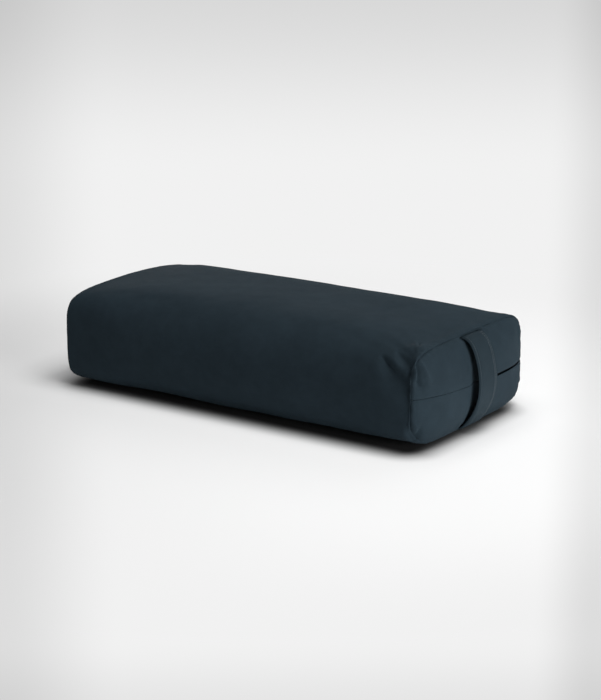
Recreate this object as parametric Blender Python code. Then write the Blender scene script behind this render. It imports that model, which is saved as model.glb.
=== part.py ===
"""Yoga bolster: a firm boxed cushion with a zipped cover and a carry handle at each end.

X runs along the bolster with the zipped end at +X, Y runs across it and Z points up. The
origin lies on the floor under the middle of the cushion. All lengths are in metres.
"""

import math

import bmesh
import bpy
from mathutils import Matrix, Vector

# Cover, over the cloth
COVER_LENGTH = 0.640
COVER_WIDTH = 0.305
COVER_HEIGHT = 0.152
CLOTH = 0.0012
CROWN = 0.012
CROWN_POWER = 4.7
SIDE_DRAW = 0.0015
FLOOR_PRESS = 0.008
MIDDLE_SQUARENESS = 3.5
END_SQUARENESS = 5.4
END_BULGE = 0.0225
END_BULGE_POWER = 3.5
SEAM_ALLOWANCE = 0.008

# Clearance between pieces that touch on the real object
GAP = 0.0003

# Carry handles
STRAP_WIDTH = 0.048
STRAP_THICKNESS = 0.0036
STRAP_WALL = 0.0010
STRAP_EDGE_ROUND = 0.0009
STRAP_HOLLOW_ROUND = 0.0002
STRAP_TUCK = 0.0023
STRAP_OVERRUN = 0.006
STRAP_BOW_POWER = 0.72
STRAP_DROOP = 0.22
FINGER_GAP = 0.0080

# Zip across the near end panel, whose line falls towards +Y by the tilt
ZIP_TILT = math.radians(1.9)
SLIT = 0.0036
ZIP_FROM_SIDE_SEAM = 0.0185
PAST_CLOSED_END = 0.0078
PAST_OPEN_END = 0.0138
TOOTH_PITCH = 0.0030
TOOTH_DEPTH = 0.0006
COIL_WIDTH = 0.0019
COIL_HEIGHT = 0.0016
COIL_SPLIT = 0.0015
TAPE = 0.0006
TAPE_WIDTH = 0.0130
TAPE_SEWN_WIDTH = 0.0050
TAPE_STEP = 0.0055
TAPE_END_CLEARANCE = 0.0045

# Slider and pull tab
SLIDER_LENGTH = 0.0104
SLIDER_PLATE = 0.0010
SLIDER_WALL = 0.0006
SLIDER_CLEARANCE = 0.0004
SLIDER_POST = 0.0008
SLIDER_POST_LENGTH = 0.0030
BRIDGE_WIDTH = 0.0013
BRIDGE_RADIUS = 0.0010
BRIDGE_RISE = 0.0014
PIN_RADIUS = 0.0004
PIN_CLEARANCE = 0.0002
TAB_LENGTH = 0.020
TAB_WIDTH = 0.0028
TAB_THICKNESS = 0.0010
TAB_EAR_RADIUS = 0.0009
TAB_ARM_THICKNESS = 0.0008
STOP_LENGTH = 0.0022

# The slider's plates from tail to nose, in shares of its half length and half width
SLIDER_OUTLINE = ((-1.0, 0.62), (-0.72, 0.98), (0.70, 1.04), (1.0, 0.80))
SLIDER_FLANGE_SHARE = 0.68

# Inner case and filling
LINER = 0.0008
LINER_LIP = 0.006
LINER_NEAR_SETBACK = 0.0065
LINER_NEAR_BULGE = 0.0125
LINER_FAR_SETBACK = 0.001
LINER_FAR_BULGE = 0.0205
WADDING = 0.014
WADDING_SHORT = 0.006
PAD_CLEARANCE = 0.0018

# How deep behind the seam the body reaches that trims a handle's ends
TRIM_DEPTH = 0.03

# Facets: the counts round the section are even, so that the inner layers can take every
# other point of the cover's
FACETS_ACROSS = 16
FACETS_UP = 12
FACETS_ALONG = 10
STRAP_FACETS = 20
ZIP_FACETS = 24
PIN_FACETS = 16
TRIM_RINGS = (1.0, 0.98, 0.94, 0.88, 0.78, 0.62, 0.4, 0.15)
SMOOTH_ANGLE = math.radians(35)
SAME_PLACE = 1e-9
CORNERS = ((-1, -1), (1, -1), (1, 1), (-1, 1))

# Worked out from the sizes above
SEAM_X = COVER_LENGTH / 2 - END_BULGE
MIDDLE_Z = (COVER_HEIGHT - FLOOR_PRESS) / 2
PANEL_INSET = CLOTH + GAP
LINER_INSET = PANEL_INSET + CLOTH + GAP
LINER_END_INSET = LINER_INSET + LINER + GAP
WADDING_INSET = LINER_END_INSET + LINER + GAP
CORE_INSET = WADDING_INSET + WADDING + GAP
LINER_NEAR_X = SEAM_X - LINER_NEAR_SETBACK
LINER_FAR_X = SEAM_X - LINER_FAR_SETBACK

# Depths below the end panel's outer face, from the panel inwards
TAPE_FACE = CLOTH + 2 * GAP
COIL_FACE = TAPE_FACE + TAPE_STEP
COIL_TOP = COIL_FACE - GAP - COIL_HEIGHT
SLIDER_UNDERSIDE = COIL_TOP - SLIDER_CLEARANCE
SLIDER_TOP = SLIDER_UNDERSIDE - SLIDER_PLATE
PIN_DEPTH = SLIDER_TOP - BRIDGE_RISE
INNER_PLATE_TOP = COIL_FACE + TAPE + GAP
INNER_PLATE_UNDERSIDE = INNER_PLATE_TOP + SLIDER_PLATE
COIL_EDGE = COIL_SPLIT / 2 + COIL_WIDTH
PANEL_HALF_WIDTH = COVER_WIDTH / 2 - SIDE_DRAW - PANEL_INSET
ZIP_HALF = PANEL_HALF_WIDTH - ZIP_FROM_SIDE_SEAM
ZIP_CLOSED_Y = ZIP_HALF - PAST_CLOSED_END - SLIDER_LENGTH / 2
ZIP_OPEN_Y = PAST_OPEN_END + SLIDER_LENGTH / 2 - ZIP_HALF
SLIDER_HALF_WIDTH = COIL_EDGE + SLIDER_CLEARANCE + SLIDER_WALL


def material(name, colour, roughness, metallic=0.0):
    """A Principled material in one colour."""
    made = bpy.data.materials.new(name)
    made.use_nodes = True
    shader = made.node_tree.nodes["Principled BSDF"]
    shader.inputs["Base Color"].default_value = (*colour, 1.0)
    shader.inputs["Roughness"].default_value = roughness
    shader.inputs["Metallic"].default_value = metallic
    return made


def place(name, mesh, finish=None):
    """A scene object for the mesh, with its round faces shaded smooth."""
    mesh.shade_smooth()
    mesh.set_sharp_from_angle(angle=SMOOTH_ANGLE)
    if finish:
        mesh.materials.append(finish)
    obj = bpy.data.objects.new(name, mesh)
    bpy.context.scene.collection.objects.link(obj)
    return obj


def place_closed(name, bm, finish=None):
    """The same for a closed body under construction, with its faces turned outwards."""
    bmesh.ops.recalc_face_normals(bm, faces=bm.faces)
    mesh = bpy.data.meshes.new(name)
    bm.to_mesh(mesh)
    bm.free()
    return place(name, mesh, finish)


def mesh_of(name, points, faces):
    mesh = bpy.data.meshes.new(name)
    mesh.from_pydata([tuple(p) for p in points], [], faces)
    return mesh


def closed_body(name, points, faces, finish):
    bm = bmesh.new()
    bm.from_mesh(mesh_of(name, points, faces))
    return place_closed(name, bm, finish)


def band(first, second, count):
    """Quads between two closed rows of count points, which start at first and second."""
    quads = []
    for i in range(count):
        j = (i + 1) % count
        quads.append((first + i, first + j, second + j, second + i))
    return quads


def loft(name, loops, finish):
    """A solid body through closed loops of equal counts, with a flat cap at each end."""
    count = len(loops[0])
    points = [p for loop in loops for p in loop]
    faces = [tuple(range(count))]
    for row in range(len(loops) - 1):
        faces += band(row * count, (row + 1) * count, count)
    last = (len(loops) - 1) * count
    faces.append(tuple(range(last, last + count)))
    return closed_body(name, points, faces, finish)


def hollow_loft(name, outer, inner, finish):
    """An open tube: a skin through the outer loops, one through the inner, and two rims."""
    count = len(outer[0])
    points = [p for loop in outer + inner for p in loop]
    last = len(outer) - 1
    inside = len(outer) * count
    faces = band(0, inside, count) + band(last * count, inside + last * count, count)
    for skin in (0, inside):
        for row in range(last):
            faces += band(skin + row * count, skin + (row + 1) * count, count)
    return closed_body(name, points, faces, finish)


def spread(count):
    """Values from -1 to 1 that lie closer together towards both ends."""
    return [math.sin(math.pi / 2 * (2 * i / count - 1)) for i in range(count + 1)]


def square_outline(step=1):
    """Points round the unit square, counter-clockwise seen from +X, taking every step-th."""
    across, up = spread(FACETS_ACROSS), spread(FACETS_UP)
    outline = [(s, -1.0) for s in across[:-1]]
    outline += [(1.0, t) for t in up[:-1]]
    outline += [(-s, 1.0) for s in across[:-1]]
    outline += [(-1.0, -t) for t in up[:-1]]
    return outline[::step]


def section(reach, inset):
    """Half width, half height and squareness of the cushion, inset from the cloth's face.

    reach is 0 at the cushion's middle and 1 at its end seams.
    """
    drawn = reach ** CROWN_POWER
    half_width = COVER_WIDTH / 2 - SIDE_DRAW * drawn - inset
    half_height = (COVER_HEIGHT + FLOOR_PRESS) / 2 - CROWN * drawn - inset
    squareness = MIDDLE_SQUARENESS + (END_SQUARENESS - MIDDLE_SQUARENESS) * drawn
    return half_width, half_height, squareness


def point_at(s, t, reach, inset):
    """Where the square's point (s, t) falls in the cushion's section at reach."""
    half_width, half_height, power = section(reach, inset)
    size = max(abs(s), abs(t))
    if size == 0:
        return 0.0, MIDDLE_Z
    share = size * (abs(s) ** power + abs(t) ** power) ** (-1 / power)
    return half_width * s * share, max(MIDDLE_Z + half_height * t * share, inset)


def section_point(s, t, x, inset, step=1):
    """Where the square's point (s, t) falls in the cushion's section at x.

    Between one station of the wrap and the next it moves in a straight line, as the facets
    do, so that what lies against the wrap has the same shape.
    """
    reach = min(abs(x) / SEAM_X, 1.0)
    knots = [abs(v) for v in spread(FACETS_ALONG)[::step]]
    high = min(v for v in knots if v >= reach - SAME_PLACE)
    below = [v for v in knots if v < high - SAME_PLACE]
    if not below:
        return point_at(s, t, high, inset)
    low = max(below)
    share = (reach - low) / (high - low)
    start, end = point_at(s, t, low, inset), point_at(s, t, high, inset)
    return tuple(p + share * (q - p) for p, q in zip(start, end))


def ring(x, inset, step=1):
    """The cushion's section at x as a closed loop."""
    return [Vector((x, *section_point(s, t, x, inset, step))) for s, t in square_outline(step)]


def dome_x(reach, seam_x, bulge):
    """How far out an end panel stands where its outline is scaled by reach."""
    return seam_x + bulge * (1 - reach ** END_BULGE_POWER)


def stations(near_x, far_x, step=1):
    """X values from the far seam to the near seam, closer together towards both."""
    between = [SEAM_X * v for v in spread(FACETS_ALONG)[::step]]
    return [-far_x] + between[1:-1] + [near_x]


def case_body(name, near_x, far_x, inset, wall, finish, step=1):
    """The wrap of a case: top, both sides and underside in one tube, open at its ends."""
    along = stations(near_x, far_x, step)
    outer = [ring(x, inset, step) for x in along]
    inner = [ring(x, inset + wall, step) for x in along]
    return hollow_loft(name, outer, inner, finish)


def dome(side, seam_x, bulge, inset, step=1, span=(-1, 1)):
    """Points and facets of an end panel's face, the point each (s, t) has, and the rim's order.

    side is +1 for the near end and -1 for the far one. span is (-1, 1) for the whole panel,
    (0, 1) for the half above the zip's slit and (-1, 0) for the half below it.
    """
    across = spread(FACETS_ACROSS)[::step]
    up = [t for t in spread(FACETS_UP)[::step] if span[0] <= t + SAME_PLACE and t - SAME_PLACE <= span[1]]
    points, index, faces = [], {}, []
    for t in up:
        for s in across:
            index[s, t] = len(points)
            x = dome_x(max(abs(s), abs(t)), seam_x, bulge)
            points.append(Vector((side * x, *slit_point(s, t, seam_x, inset, step, span))))
    for t, t_next in zip(up, up[1:]):
        for s, s_next in zip(across, across[1:]):
            face = (index[s, t], index[s_next, t], index[s_next, t_next], index[s, t_next])
            faces.append(face[::side])
    right = [(1.0, t) for t in up]
    top = [(s, 1.0) for s in across[::-1]]
    left = [(-1.0, t) for t in up[::-1]]
    bottom = [(s, -1.0) for s in across]
    if span == (0, 1):
        rim = right[:-1] + top + left[1:]
    elif span == (-1, 0):
        rim = left[:-1] + bottom + right[1:]
    else:
        rim = right[:-1] + top[:-1] + left[:-1] + bottom[:-1]
    return points, faces, index, rim


def slit_point(s, t, x, inset, step, span):
    """A section point, or for a half panel's inner edge a point on its side of the slit."""
    y, z = section_point(s, t, x, inset, step)
    if span != (-1, 1) and abs(t) < SAME_PLACE:
        z = MIDDLE_Z - y * math.tan(ZIP_TILT) + sum(span) * SLIT / 2
    return y, z


def end_panel(name, side, seam_x, bulge, inset, wall, lip, finish, span=(-1, 1), step=1):
    """A domed end panel of cloth with its seam allowance turned in along the wrap."""
    points, faces, index, rim = dome(side, seam_x, bulge, inset, step, span)
    start = len(points)
    for s, t in rim:
        y, z = slit_point(s, t, seam_x - lip, inset, step, span)
        points.append(Vector((side * (seam_x - lip), y, z)))
    whole = span == (-1, 1)
    for i in range(len(rim) if whole else len(rim) - 1):
        j = (i + 1) % len(rim)
        faces.append((start + i, start + j, index[rim[j]], index[rim[i]])[::side])
    panel = place(name, mesh_of(name, points, faces), finish)
    cloth = panel.modifiers.new("cloth", "SOLIDIFY")
    cloth.thickness = wall
    cloth.offset = -1
    cloth.use_even_offset = True


def pad(name, side, back_x, front_x, bulge):
    """A wadding pad, flat where it lies on the core's end and domed where it fills the case."""
    points, faces, index, rim = dome(side, front_x, bulge, WADDING_INSET, 2)
    start = len(points)
    for s, t in rim:
        points.append(Vector((side * back_x, *section_point(s, t, back_x, WADDING_INSET, 2))))
    for i in range(len(rim)):
        j = (i + 1) % len(rim)
        faces.append((start + i, start + j, index[rim[j]], index[rim[i]])[::side])
    faces.append(tuple(range(start, start + len(rim)))[::-side])
    closed_body(name, points, faces, WADDING_FINISH)


def helper(name, loops):
    """A closed body that only cuts others."""
    cutter = loft(name, loops, None)
    cutter.hide_render = True
    cutter.display_type = "WIRE"
    return cutter


def cut_by(obj, cutter):
    boolean = obj.modifiers.new(cutter.name, "BOOLEAN")
    boolean.operation = "DIFFERENCE"
    boolean.solver = "EXACT"
    boolean.object = cutter
    return boolean


def strap_line():
    """The handle's bow in the XZ plane, from the upper seam to the lower one.

    A strap droops under its own weight, so its upper half stands out more squarely than its
    lower half. Both ends run on straight for a little way behind the seams.
    """
    half_chord = section(1.0, 0)[1] - STRAP_TUCK
    rise = END_BULGE + FINGER_GAP + STRAP_THICKNESS / 2
    line = []
    for i in range(STRAP_FACETS + 1):
        angle = math.pi * (0.5 - i / STRAP_FACETS)
        level = math.sin(angle)
        power = 2 * (STRAP_BOW_POWER - STRAP_DROOP * level)
        out = rise * max(math.cos(angle), 0.0) ** power
        line.append(Vector((SEAM_X + out, MIDDLE_Z + half_chord * level)))
    start = line[0] + (line[0] - line[1]).normalized() * STRAP_OVERRUN
    end = line[-1] + (line[-1] - line[-2]).normalized() * STRAP_OVERRUN
    return [start] + line + [end]


def strap_loops(side, half_width, half_thickness, edge_round):
    """Sections of a strap along the bow, with their corners cut by edge_round."""
    corner = [
        (half_width - edge_round, half_thickness),
        (half_width, half_thickness - edge_round),
        (half_width, -half_thickness + edge_round),
        (half_width - edge_round, -half_thickness),
    ]
    profile = corner + [(-w, -h) for w, h in corner]
    line = strap_line()
    loops = []
    for i, (x, z) in enumerate(line):
        before, after = line[max(i - 1, 0)], line[min(i + 1, len(line) - 1)]
        along = (before - after).normalized()
        loop = [Vector((side * (x + h * along.y), w, z - h * along.x)) for w, h in profile]
        loops.append(loop)
    return loops


def end_envelope(side):
    """What a handle is trimmed by: the end panel's dome and all that lies behind the seam."""
    rim = [section_point(s, t, SEAM_X, PANEL_INSET - GAP) for s, t in square_outline()]
    loops = []
    for reach in TRIM_RINGS:
        x = dome_x(reach, SEAM_X, END_BULGE) + GAP
        loop = [Vector((side * x, reach * y, MIDDLE_Z + reach * (z - MIDDLE_Z))) for y, z in rim]
        loops.append(loop)
    bowed = helper(f"guide_dome_{side:+d}", loops)
    loops = []
    for x in (SEAM_X - TRIM_DEPTH, SEAM_X + GAP):
        y, z = COVER_WIDTH, COVER_HEIGHT
        loops.append([Vector((side * x, u * y, MIDDLE_Z + v * z)) for u, v in CORNERS])
    behind = helper(f"guide_block_{side:+d}", loops)
    return bowed, behind


def handle(label, side):
    """A carry handle: a flat cloth sleeve round a webbing core, sewn into both end seams."""
    half = STRAP_THICKNESS / 2
    hollow = half - STRAP_WALL
    hollow_width = STRAP_WIDTH / 2 - STRAP_WALL - STRAP_EDGE_ROUND
    outer = strap_loops(side, STRAP_WIDTH / 2, half, STRAP_EDGE_ROUND)
    inner = strap_loops(side, hollow_width, hollow, STRAP_HOLLOW_ROUND)
    filling = strap_loops(side, hollow_width - GAP, hollow - GAP, STRAP_HOLLOW_ROUND)
    sleeve = hollow_loft(f"handle_{label}_sleeve", outer, inner, HANDLE_FINISH)
    core = loft(f"handle_{label}_core", filling, WEBBING_FINISH)
    for cutter in end_envelope(side):
        cut_by(sleeve, cutter)
        cut_by(core, cutter)


def zip_arc():
    """Centre X and radius of the arc that the coils and slider follow behind the end panel."""
    sagitta = END_BULGE * (ZIP_HALF / PANEL_HALF_WIDTH) ** END_BULGE_POWER
    radius = (ZIP_HALF ** 2 + sagitta ** 2) / (2 * sagitta)
    return SEAM_X + END_BULGE - radius, radius


def arc_angle(y):
    return math.asin(y / zip_arc()[1])


def tape_line(y):
    """Where the tape's line runs at y, and which way is out of the panel there.

    It follows the coils' arc, and past the coils the panel's own bow, up to the side seams.
    """
    centre_x, radius = zip_arc()
    if abs(y) <= ZIP_HALF:
        angle = arc_angle(y)
        return centre_x + radius * math.cos(angle), angle
    reach = abs(y) / PANEL_HALF_WIDTH
    slope = END_BULGE * END_BULGE_POWER * reach ** (END_BULGE_POWER - 1) / PANEL_HALF_WIDTH
    return dome_x(reach, SEAM_X, END_BULGE), math.copysign(math.atan(slope), y)


def behind_panel(y, depth, w):
    """A point at a depth below the end panel's face, and w above the zip's tilted line."""
    x, angle = tape_line(y)
    level = Vector((x - depth * math.cos(angle), y - depth * math.sin(angle), w))
    return Matrix.Rotation(-ZIP_TILT, 3, "X") @ level + Vector((0, 0, MIDDLE_Z))


def swept_along_zip(name, profile, places, finish, sign=1):
    """A solid whose section, a list of (depth, w), runs along the zip. sign -1 is below it."""
    loops = [[behind_panel(y, depth, sign * w) for depth, w in profile] for y in places]
    return loft(name, loops, finish)


def zip_tape(label, sign):
    """A woven tape: its sewn edge lies behind the panel and its inner edge carries the coil."""
    end = PANEL_HALF_WIDTH - TAPE_END_CLEARANCE
    between = (ZIP_HALF + end) / 2
    places = [ZIP_HALF * (2 * i / ZIP_FACETS - 1) for i in range(ZIP_FACETS + 1)]
    places = [-end, -between] + places + [between, end]
    outer_w = COIL_SPLIT / 2 + TAPE_WIDTH
    sewn_w = outer_w - TAPE_SEWN_WIDTH
    low_w = SLIDER_HALF_WIDTH + 2 * SLIDER_CLEARANCE
    profile = [
        (TAPE_FACE, outer_w),
        (TAPE_FACE, sewn_w),
        (COIL_FACE, low_w),
        (COIL_FACE, COIL_SPLIT / 2),
        (COIL_FACE + TAPE, COIL_SPLIT / 2),
        (COIL_FACE + TAPE, low_w + TAPE / 2),
        (TAPE_FACE + TAPE, sewn_w + TAPE / 2),
        (TAPE_FACE + TAPE, outer_w),
    ]
    return swept_along_zip(f"zip_tape_{label}", profile, places, TAPE_FINISH, sign)


def coil_ends():
    """Where the coils start and end: just past the slider at each end of its travel."""
    return ZIP_OPEN_Y - SLIDER_LENGTH / 2, ZIP_CLOSED_Y + SLIDER_LENGTH / 2


def zip_coil(label, sign):
    """One side of the zip: a bar with a ridge for each turn of the coil."""
    start, end = coil_ends()
    turns = round((end - start) / TOOTH_PITCH)
    loops = []
    for i in range(2 * turns + 1):
        dip = TOOTH_DEPTH if i % 2 == 0 else 0.0
        near_w = COIL_SPLIT / 2 + dip / 2
        far_w = COIL_EDGE - dip / 2
        corners = [
            (COIL_FACE - GAP, near_w),
            (COIL_TOP + dip, near_w),
            (COIL_TOP + dip, far_w),
            (COIL_FACE - GAP, far_w),
        ]
        y = start + (end - start) * i / (2 * turns)
        loops.append([behind_panel(y, depth, sign * w) for depth, w in corners])
    return loft(f"zip_coil_{label}", loops, COIL_FINISH)


def zip_stops():
    """Two clips at the closed end, one on each coil, and one across both at the open end."""
    start, end = coil_ends()
    clip = [
        (COIL_FACE - GAP, COIL_SPLIT / 2),
        (COIL_TOP, COIL_SPLIT / 2),
        (COIL_TOP, COIL_EDGE),
        (COIL_FACE - GAP, COIL_EDGE),
    ]
    closed = [end + GAP, end + GAP + STOP_LENGTH]
    for label, sign in (("upper", 1), ("lower", -1)):
        swept_along_zip(f"zip_top_stop_{label}", clip, closed, METAL_FINISH, sign)
    across = [
        (COIL_FACE - GAP, -COIL_EDGE),
        (COIL_TOP, -COIL_EDGE),
        (COIL_TOP, COIL_EDGE),
        (COIL_FACE - GAP, COIL_EDGE),
    ]
    opened = [start - GAP - STOP_LENGTH, start - GAP]
    swept_along_zip("zip_bottom_stop", across, opened, METAL_FINISH)


def block(name, low, high):
    """A box between two corners."""
    bm = bmesh.new()
    made = bmesh.ops.create_cube(bm, size=1.0)
    low, high = Vector(low), Vector(high)
    bmesh.ops.scale(bm, verts=made["verts"], vec=high - low)
    bmesh.ops.translate(bm, verts=made["verts"], vec=(high + low) / 2)
    return place_closed(name, bm)


def upright_rod(name, centre, radius, half_height):
    """A round bar along Z."""
    bm = bmesh.new()
    made = bmesh.ops.create_cone(
        bm,
        cap_ends=True,
        segments=PIN_FACETS,
        radius1=radius,
        radius2=radius,
        depth=2 * half_height,
    )
    bmesh.ops.translate(bm, verts=made["verts"], vec=centre)
    return place_closed(name, bm)


def slider_plate(name, top, underside):
    """A plate with a narrow tail and a wide nose, lying below the end panel's face."""
    outline = [(y * SLIDER_LENGTH / 2, w * SLIDER_HALF_WIDTH) for y, w in SLIDER_OUTLINE]
    outline += [(y, -w) for y, w in outline[::-1]]
    radius = zip_arc()[1]
    bm = bmesh.new()
    face = bm.faces.new([bm.verts.new((radius - underside, y, w)) for y, w in outline])
    made = bmesh.ops.extrude_face_region(bm, geom=[face])
    moved = [v for v in made["geom"] if isinstance(v, bmesh.types.BMVert)]
    bmesh.ops.translate(bm, verts=moved, vec=(underside - top, 0, 0))
    return place_closed(name, bm)


def combined(name, base, joined, cut, finish, axis):
    """One body on its joint's axis: a base with what is joined to it and what is cut from it."""
    base.name = name
    base.data.materials.append(finish)
    base.parent = axis
    for pieces, operation in ((joined, "UNION"), (cut, "DIFFERENCE")):
        for piece in pieces:
            piece.parent = axis
            piece.hide_render = True
            piece.display_type = "WIRE"
            boolean = base.modifiers.new(piece.name, "BOOLEAN")
            boolean.operation = operation
            boolean.solver = "EXACT"
            boolean.object = piece


def slider(axis):
    """The slider: two plates round the coils, joined by a post that runs between them."""
    radius = zip_arc()[1]
    sink = SLIDER_PLATE / 2
    flange_half = SLIDER_FLANGE_SHARE * SLIDER_LENGTH / 2
    under_bridge = radius - PIN_DEPTH
    post = block(
        "slider_post",
        (radius - INNER_PLATE_TOP - sink, flange_half - SLIDER_POST_LENGTH, -SLIDER_POST / 2),
        (radius - SLIDER_UNDERSIDE + sink, flange_half, SLIDER_POST / 2),
    )
    foot = block(
        "slider_bridge_foot",
        (radius - SLIDER_TOP - sink, -BRIDGE_RADIUS, -BRIDGE_WIDTH / 2),
        (under_bridge, BRIDGE_RADIUS, BRIDGE_WIDTH / 2),
    )
    head = upright_rod("slider_bridge_head", (under_bridge, 0, 0), BRIDGE_RADIUS, BRIDGE_WIDTH / 2)
    inner_plate = slider_plate("slider_inner_plate", INNER_PLATE_TOP, INNER_PLATE_UNDERSIDE)
    joined = [inner_plate, post, foot, head]
    for label, sign in (("upper", 1), ("lower", -1)):
        low, high = sorted((sign * (SLIDER_HALF_WIDTH - SLIDER_WALL), sign * SLIDER_HALF_WIDTH))
        flange = block(
            f"slider_flange_{label}",
            (radius - COIL_FACE + SLIDER_CLEARANCE, -flange_half, low),
            (radius - SLIDER_UNDERSIDE + sink, flange_half, high),
        )
        joined.append(flange)
    eye = upright_rod("slider_eye", (under_bridge, 0, 0), PIN_RADIUS + PIN_CLEARANCE, BRIDGE_WIDTH)
    outer_plate = slider_plate("slider_outer_plate", SLIDER_TOP, SLIDER_UNDERSIDE)
    combined("zip_slider", outer_plate, joined, [eye], METAL_FINISH, axis)


def pull_tab(axis):
    """The pull tab: a flat tongue whose forked end turns on a pin through the slider's eye."""
    ear_in, ear_out = BRIDGE_WIDTH / 2 + GAP, TAB_WIDTH / 2
    ear_middle = (ear_in + ear_out) / 2
    tongue_start = BRIDGE_RADIUS + 2 * GAP
    tongue = block(
        "tab_tongue",
        (-TAB_THICKNESS / 2, -TAB_LENGTH, -TAB_WIDTH / 2),
        (TAB_THICKNESS / 2, -tongue_start, TAB_WIDTH / 2),
    )
    joined = [upright_rod("tab_pin", (0, 0, 0), PIN_RADIUS, ear_middle)]
    for label, sign in (("upper", 1), ("lower", -1)):
        low, high = sorted((sign * ear_in, sign * ear_out))
        centre = (0, 0, sign * ear_middle)
        joined.append(upright_rod(f"tab_ear_{label}", centre, TAB_EAR_RADIUS, (high - low) / 2))
        arm = block(
            f"tab_arm_{label}",
            (-TAB_ARM_THICKNESS / 2, -tongue_start - GAP, low),
            (TAB_ARM_THICKNESS / 2, 0.0, high),
        )
        joined.append(arm)
    combined("zip_pull_tab", tongue, joined, [], METAL_FINISH, axis)


def empty(name, location, parent=None):
    """A joint's axis."""
    made = bpy.data.objects.new(name, None)
    made.empty_display_size = 0.01
    made.location = location
    made.parent = parent
    bpy.context.scene.collection.objects.link(made)
    return made


for old in list(bpy.data.objects):
    bpy.data.objects.remove(old, do_unlink=True)

CLOTH_FINISH = material("cover_cloth", (0.030, 0.044, 0.056), 0.85)
HANDLE_FINISH = material("handle_cloth", (0.032, 0.045, 0.058), 0.80)
WEBBING_FINISH = material("webbing", (0.025, 0.028, 0.032), 0.90)
TAPE_FINISH = material("zip_tape", (0.018, 0.022, 0.028), 0.90)
COIL_FINISH = material("zip_coil", (0.020, 0.023, 0.028), 0.45)
METAL_FINISH = material("zip_metal", (0.030, 0.032, 0.036), 0.40, 0.8)
LINER_FINISH = material("liner_cotton", (0.62, 0.60, 0.55), 0.95)
WADDING_FINISH = material("wadding", (0.80, 0.80, 0.78), 1.0)
FOAM_FINISH = material("foam", (0.72, 0.70, 0.62), 1.0)

# Cover
case_body("cover_body", SEAM_X, SEAM_X, 0.0, CLOTH, CLOTH_FINISH)
cover_end = (SEAM_X, END_BULGE, PANEL_INSET, CLOTH, SEAM_ALLOWANCE, CLOTH_FINISH)
end_panel("end_panel_near_upper", 1, *cover_end, span=(0, 1))
end_panel("end_panel_near_lower", 1, *cover_end, span=(-1, 0))
end_panel("end_panel_far", -1, *cover_end)
handle("near", 1)
handle("far", -1)

# Zip
zip_tape("upper", 1)
zip_tape("lower", -1)
zip_coil("upper", 1)
zip_coil("lower", -1)
zip_stops()
zip_plane = empty("zip_plane", (0, 0, MIDDLE_Z))
zip_plane.rotation_euler.x = -ZIP_TILT
slider_axis = empty("slider_axis", (zip_arc()[0], 0, 0), zip_plane)
slider_axis.rotation_euler.z = arc_angle(ZIP_CLOSED_Y)
slider(slider_axis)
tab_axis = empty("tab_axis", (zip_arc()[1] - PIN_DEPTH, 0, 0), slider_axis)
pull_tab(tab_axis)

# Inner case and filling
case_body("liner_body", LINER_NEAR_X, LINER_FAR_X, LINER_INSET, LINER, LINER_FINISH, 2)
liner_end = (LINER_END_INSET, LINER, LINER_LIP, LINER_FINISH)
end_panel("liner_near_end", 1, LINER_NEAR_X, LINER_NEAR_BULGE, *liner_end, step=2)
end_panel("liner_far_end", -1, LINER_FAR_X, LINER_FAR_BULGE, *liner_end, step=2)
wadding_near_x = LINER_NEAR_X - WADDING_SHORT
wadding_far_x = LINER_FAR_X - WADDING_SHORT
case_body("wadding_wrap", wadding_near_x, wadding_far_x, WADDING_INSET, WADDING, WADDING_FINISH, 2)
loft(
    "foam_core",
    [ring(x, CORE_INSET, 2) for x in stations(wadding_near_x, wadding_far_x, 2)],
    FOAM_FINISH,
)
pad("wadding_near_pad", 1, wadding_near_x + GAP, LINER_NEAR_X - PAD_CLEARANCE, LINER_NEAR_BULGE)
pad("wadding_far_pad", -1, wadding_far_x + GAP, LINER_FAR_X - PAD_CLEARANCE, LINER_FAR_BULGE)
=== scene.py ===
"""Yoga bolster: the cloth, handles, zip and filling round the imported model, in a plain studio.

X runs along the bolster with the zipped end at +X, Y runs across it and Z points up from the
floor. All lengths are in metres.
"""

import math

import bmesh
import bpy
import numpy as np
from bpy.props import FloatProperty, FloatVectorProperty, PointerProperty
from mathutils import Matrix, Vector, kdtree, noise


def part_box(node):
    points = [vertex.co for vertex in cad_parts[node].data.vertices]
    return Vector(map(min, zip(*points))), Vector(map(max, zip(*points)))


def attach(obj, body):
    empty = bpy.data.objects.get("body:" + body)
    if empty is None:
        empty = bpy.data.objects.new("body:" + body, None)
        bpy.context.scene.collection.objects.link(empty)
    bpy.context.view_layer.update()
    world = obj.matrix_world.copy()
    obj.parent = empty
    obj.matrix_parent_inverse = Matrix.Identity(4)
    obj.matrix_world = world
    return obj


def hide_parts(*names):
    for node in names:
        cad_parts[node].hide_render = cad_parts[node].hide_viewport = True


bl_info = {
    "name": "Yoga bolster",
    "version": (1, 0, 0),
    "blender": (4, 5, 0),
    "location": "3D View > Sidebar > Bolster",
    "description": "Builds the cover, handles, zip, filling and studio of a yoga bolster",
    "category": "Object",
}

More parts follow.
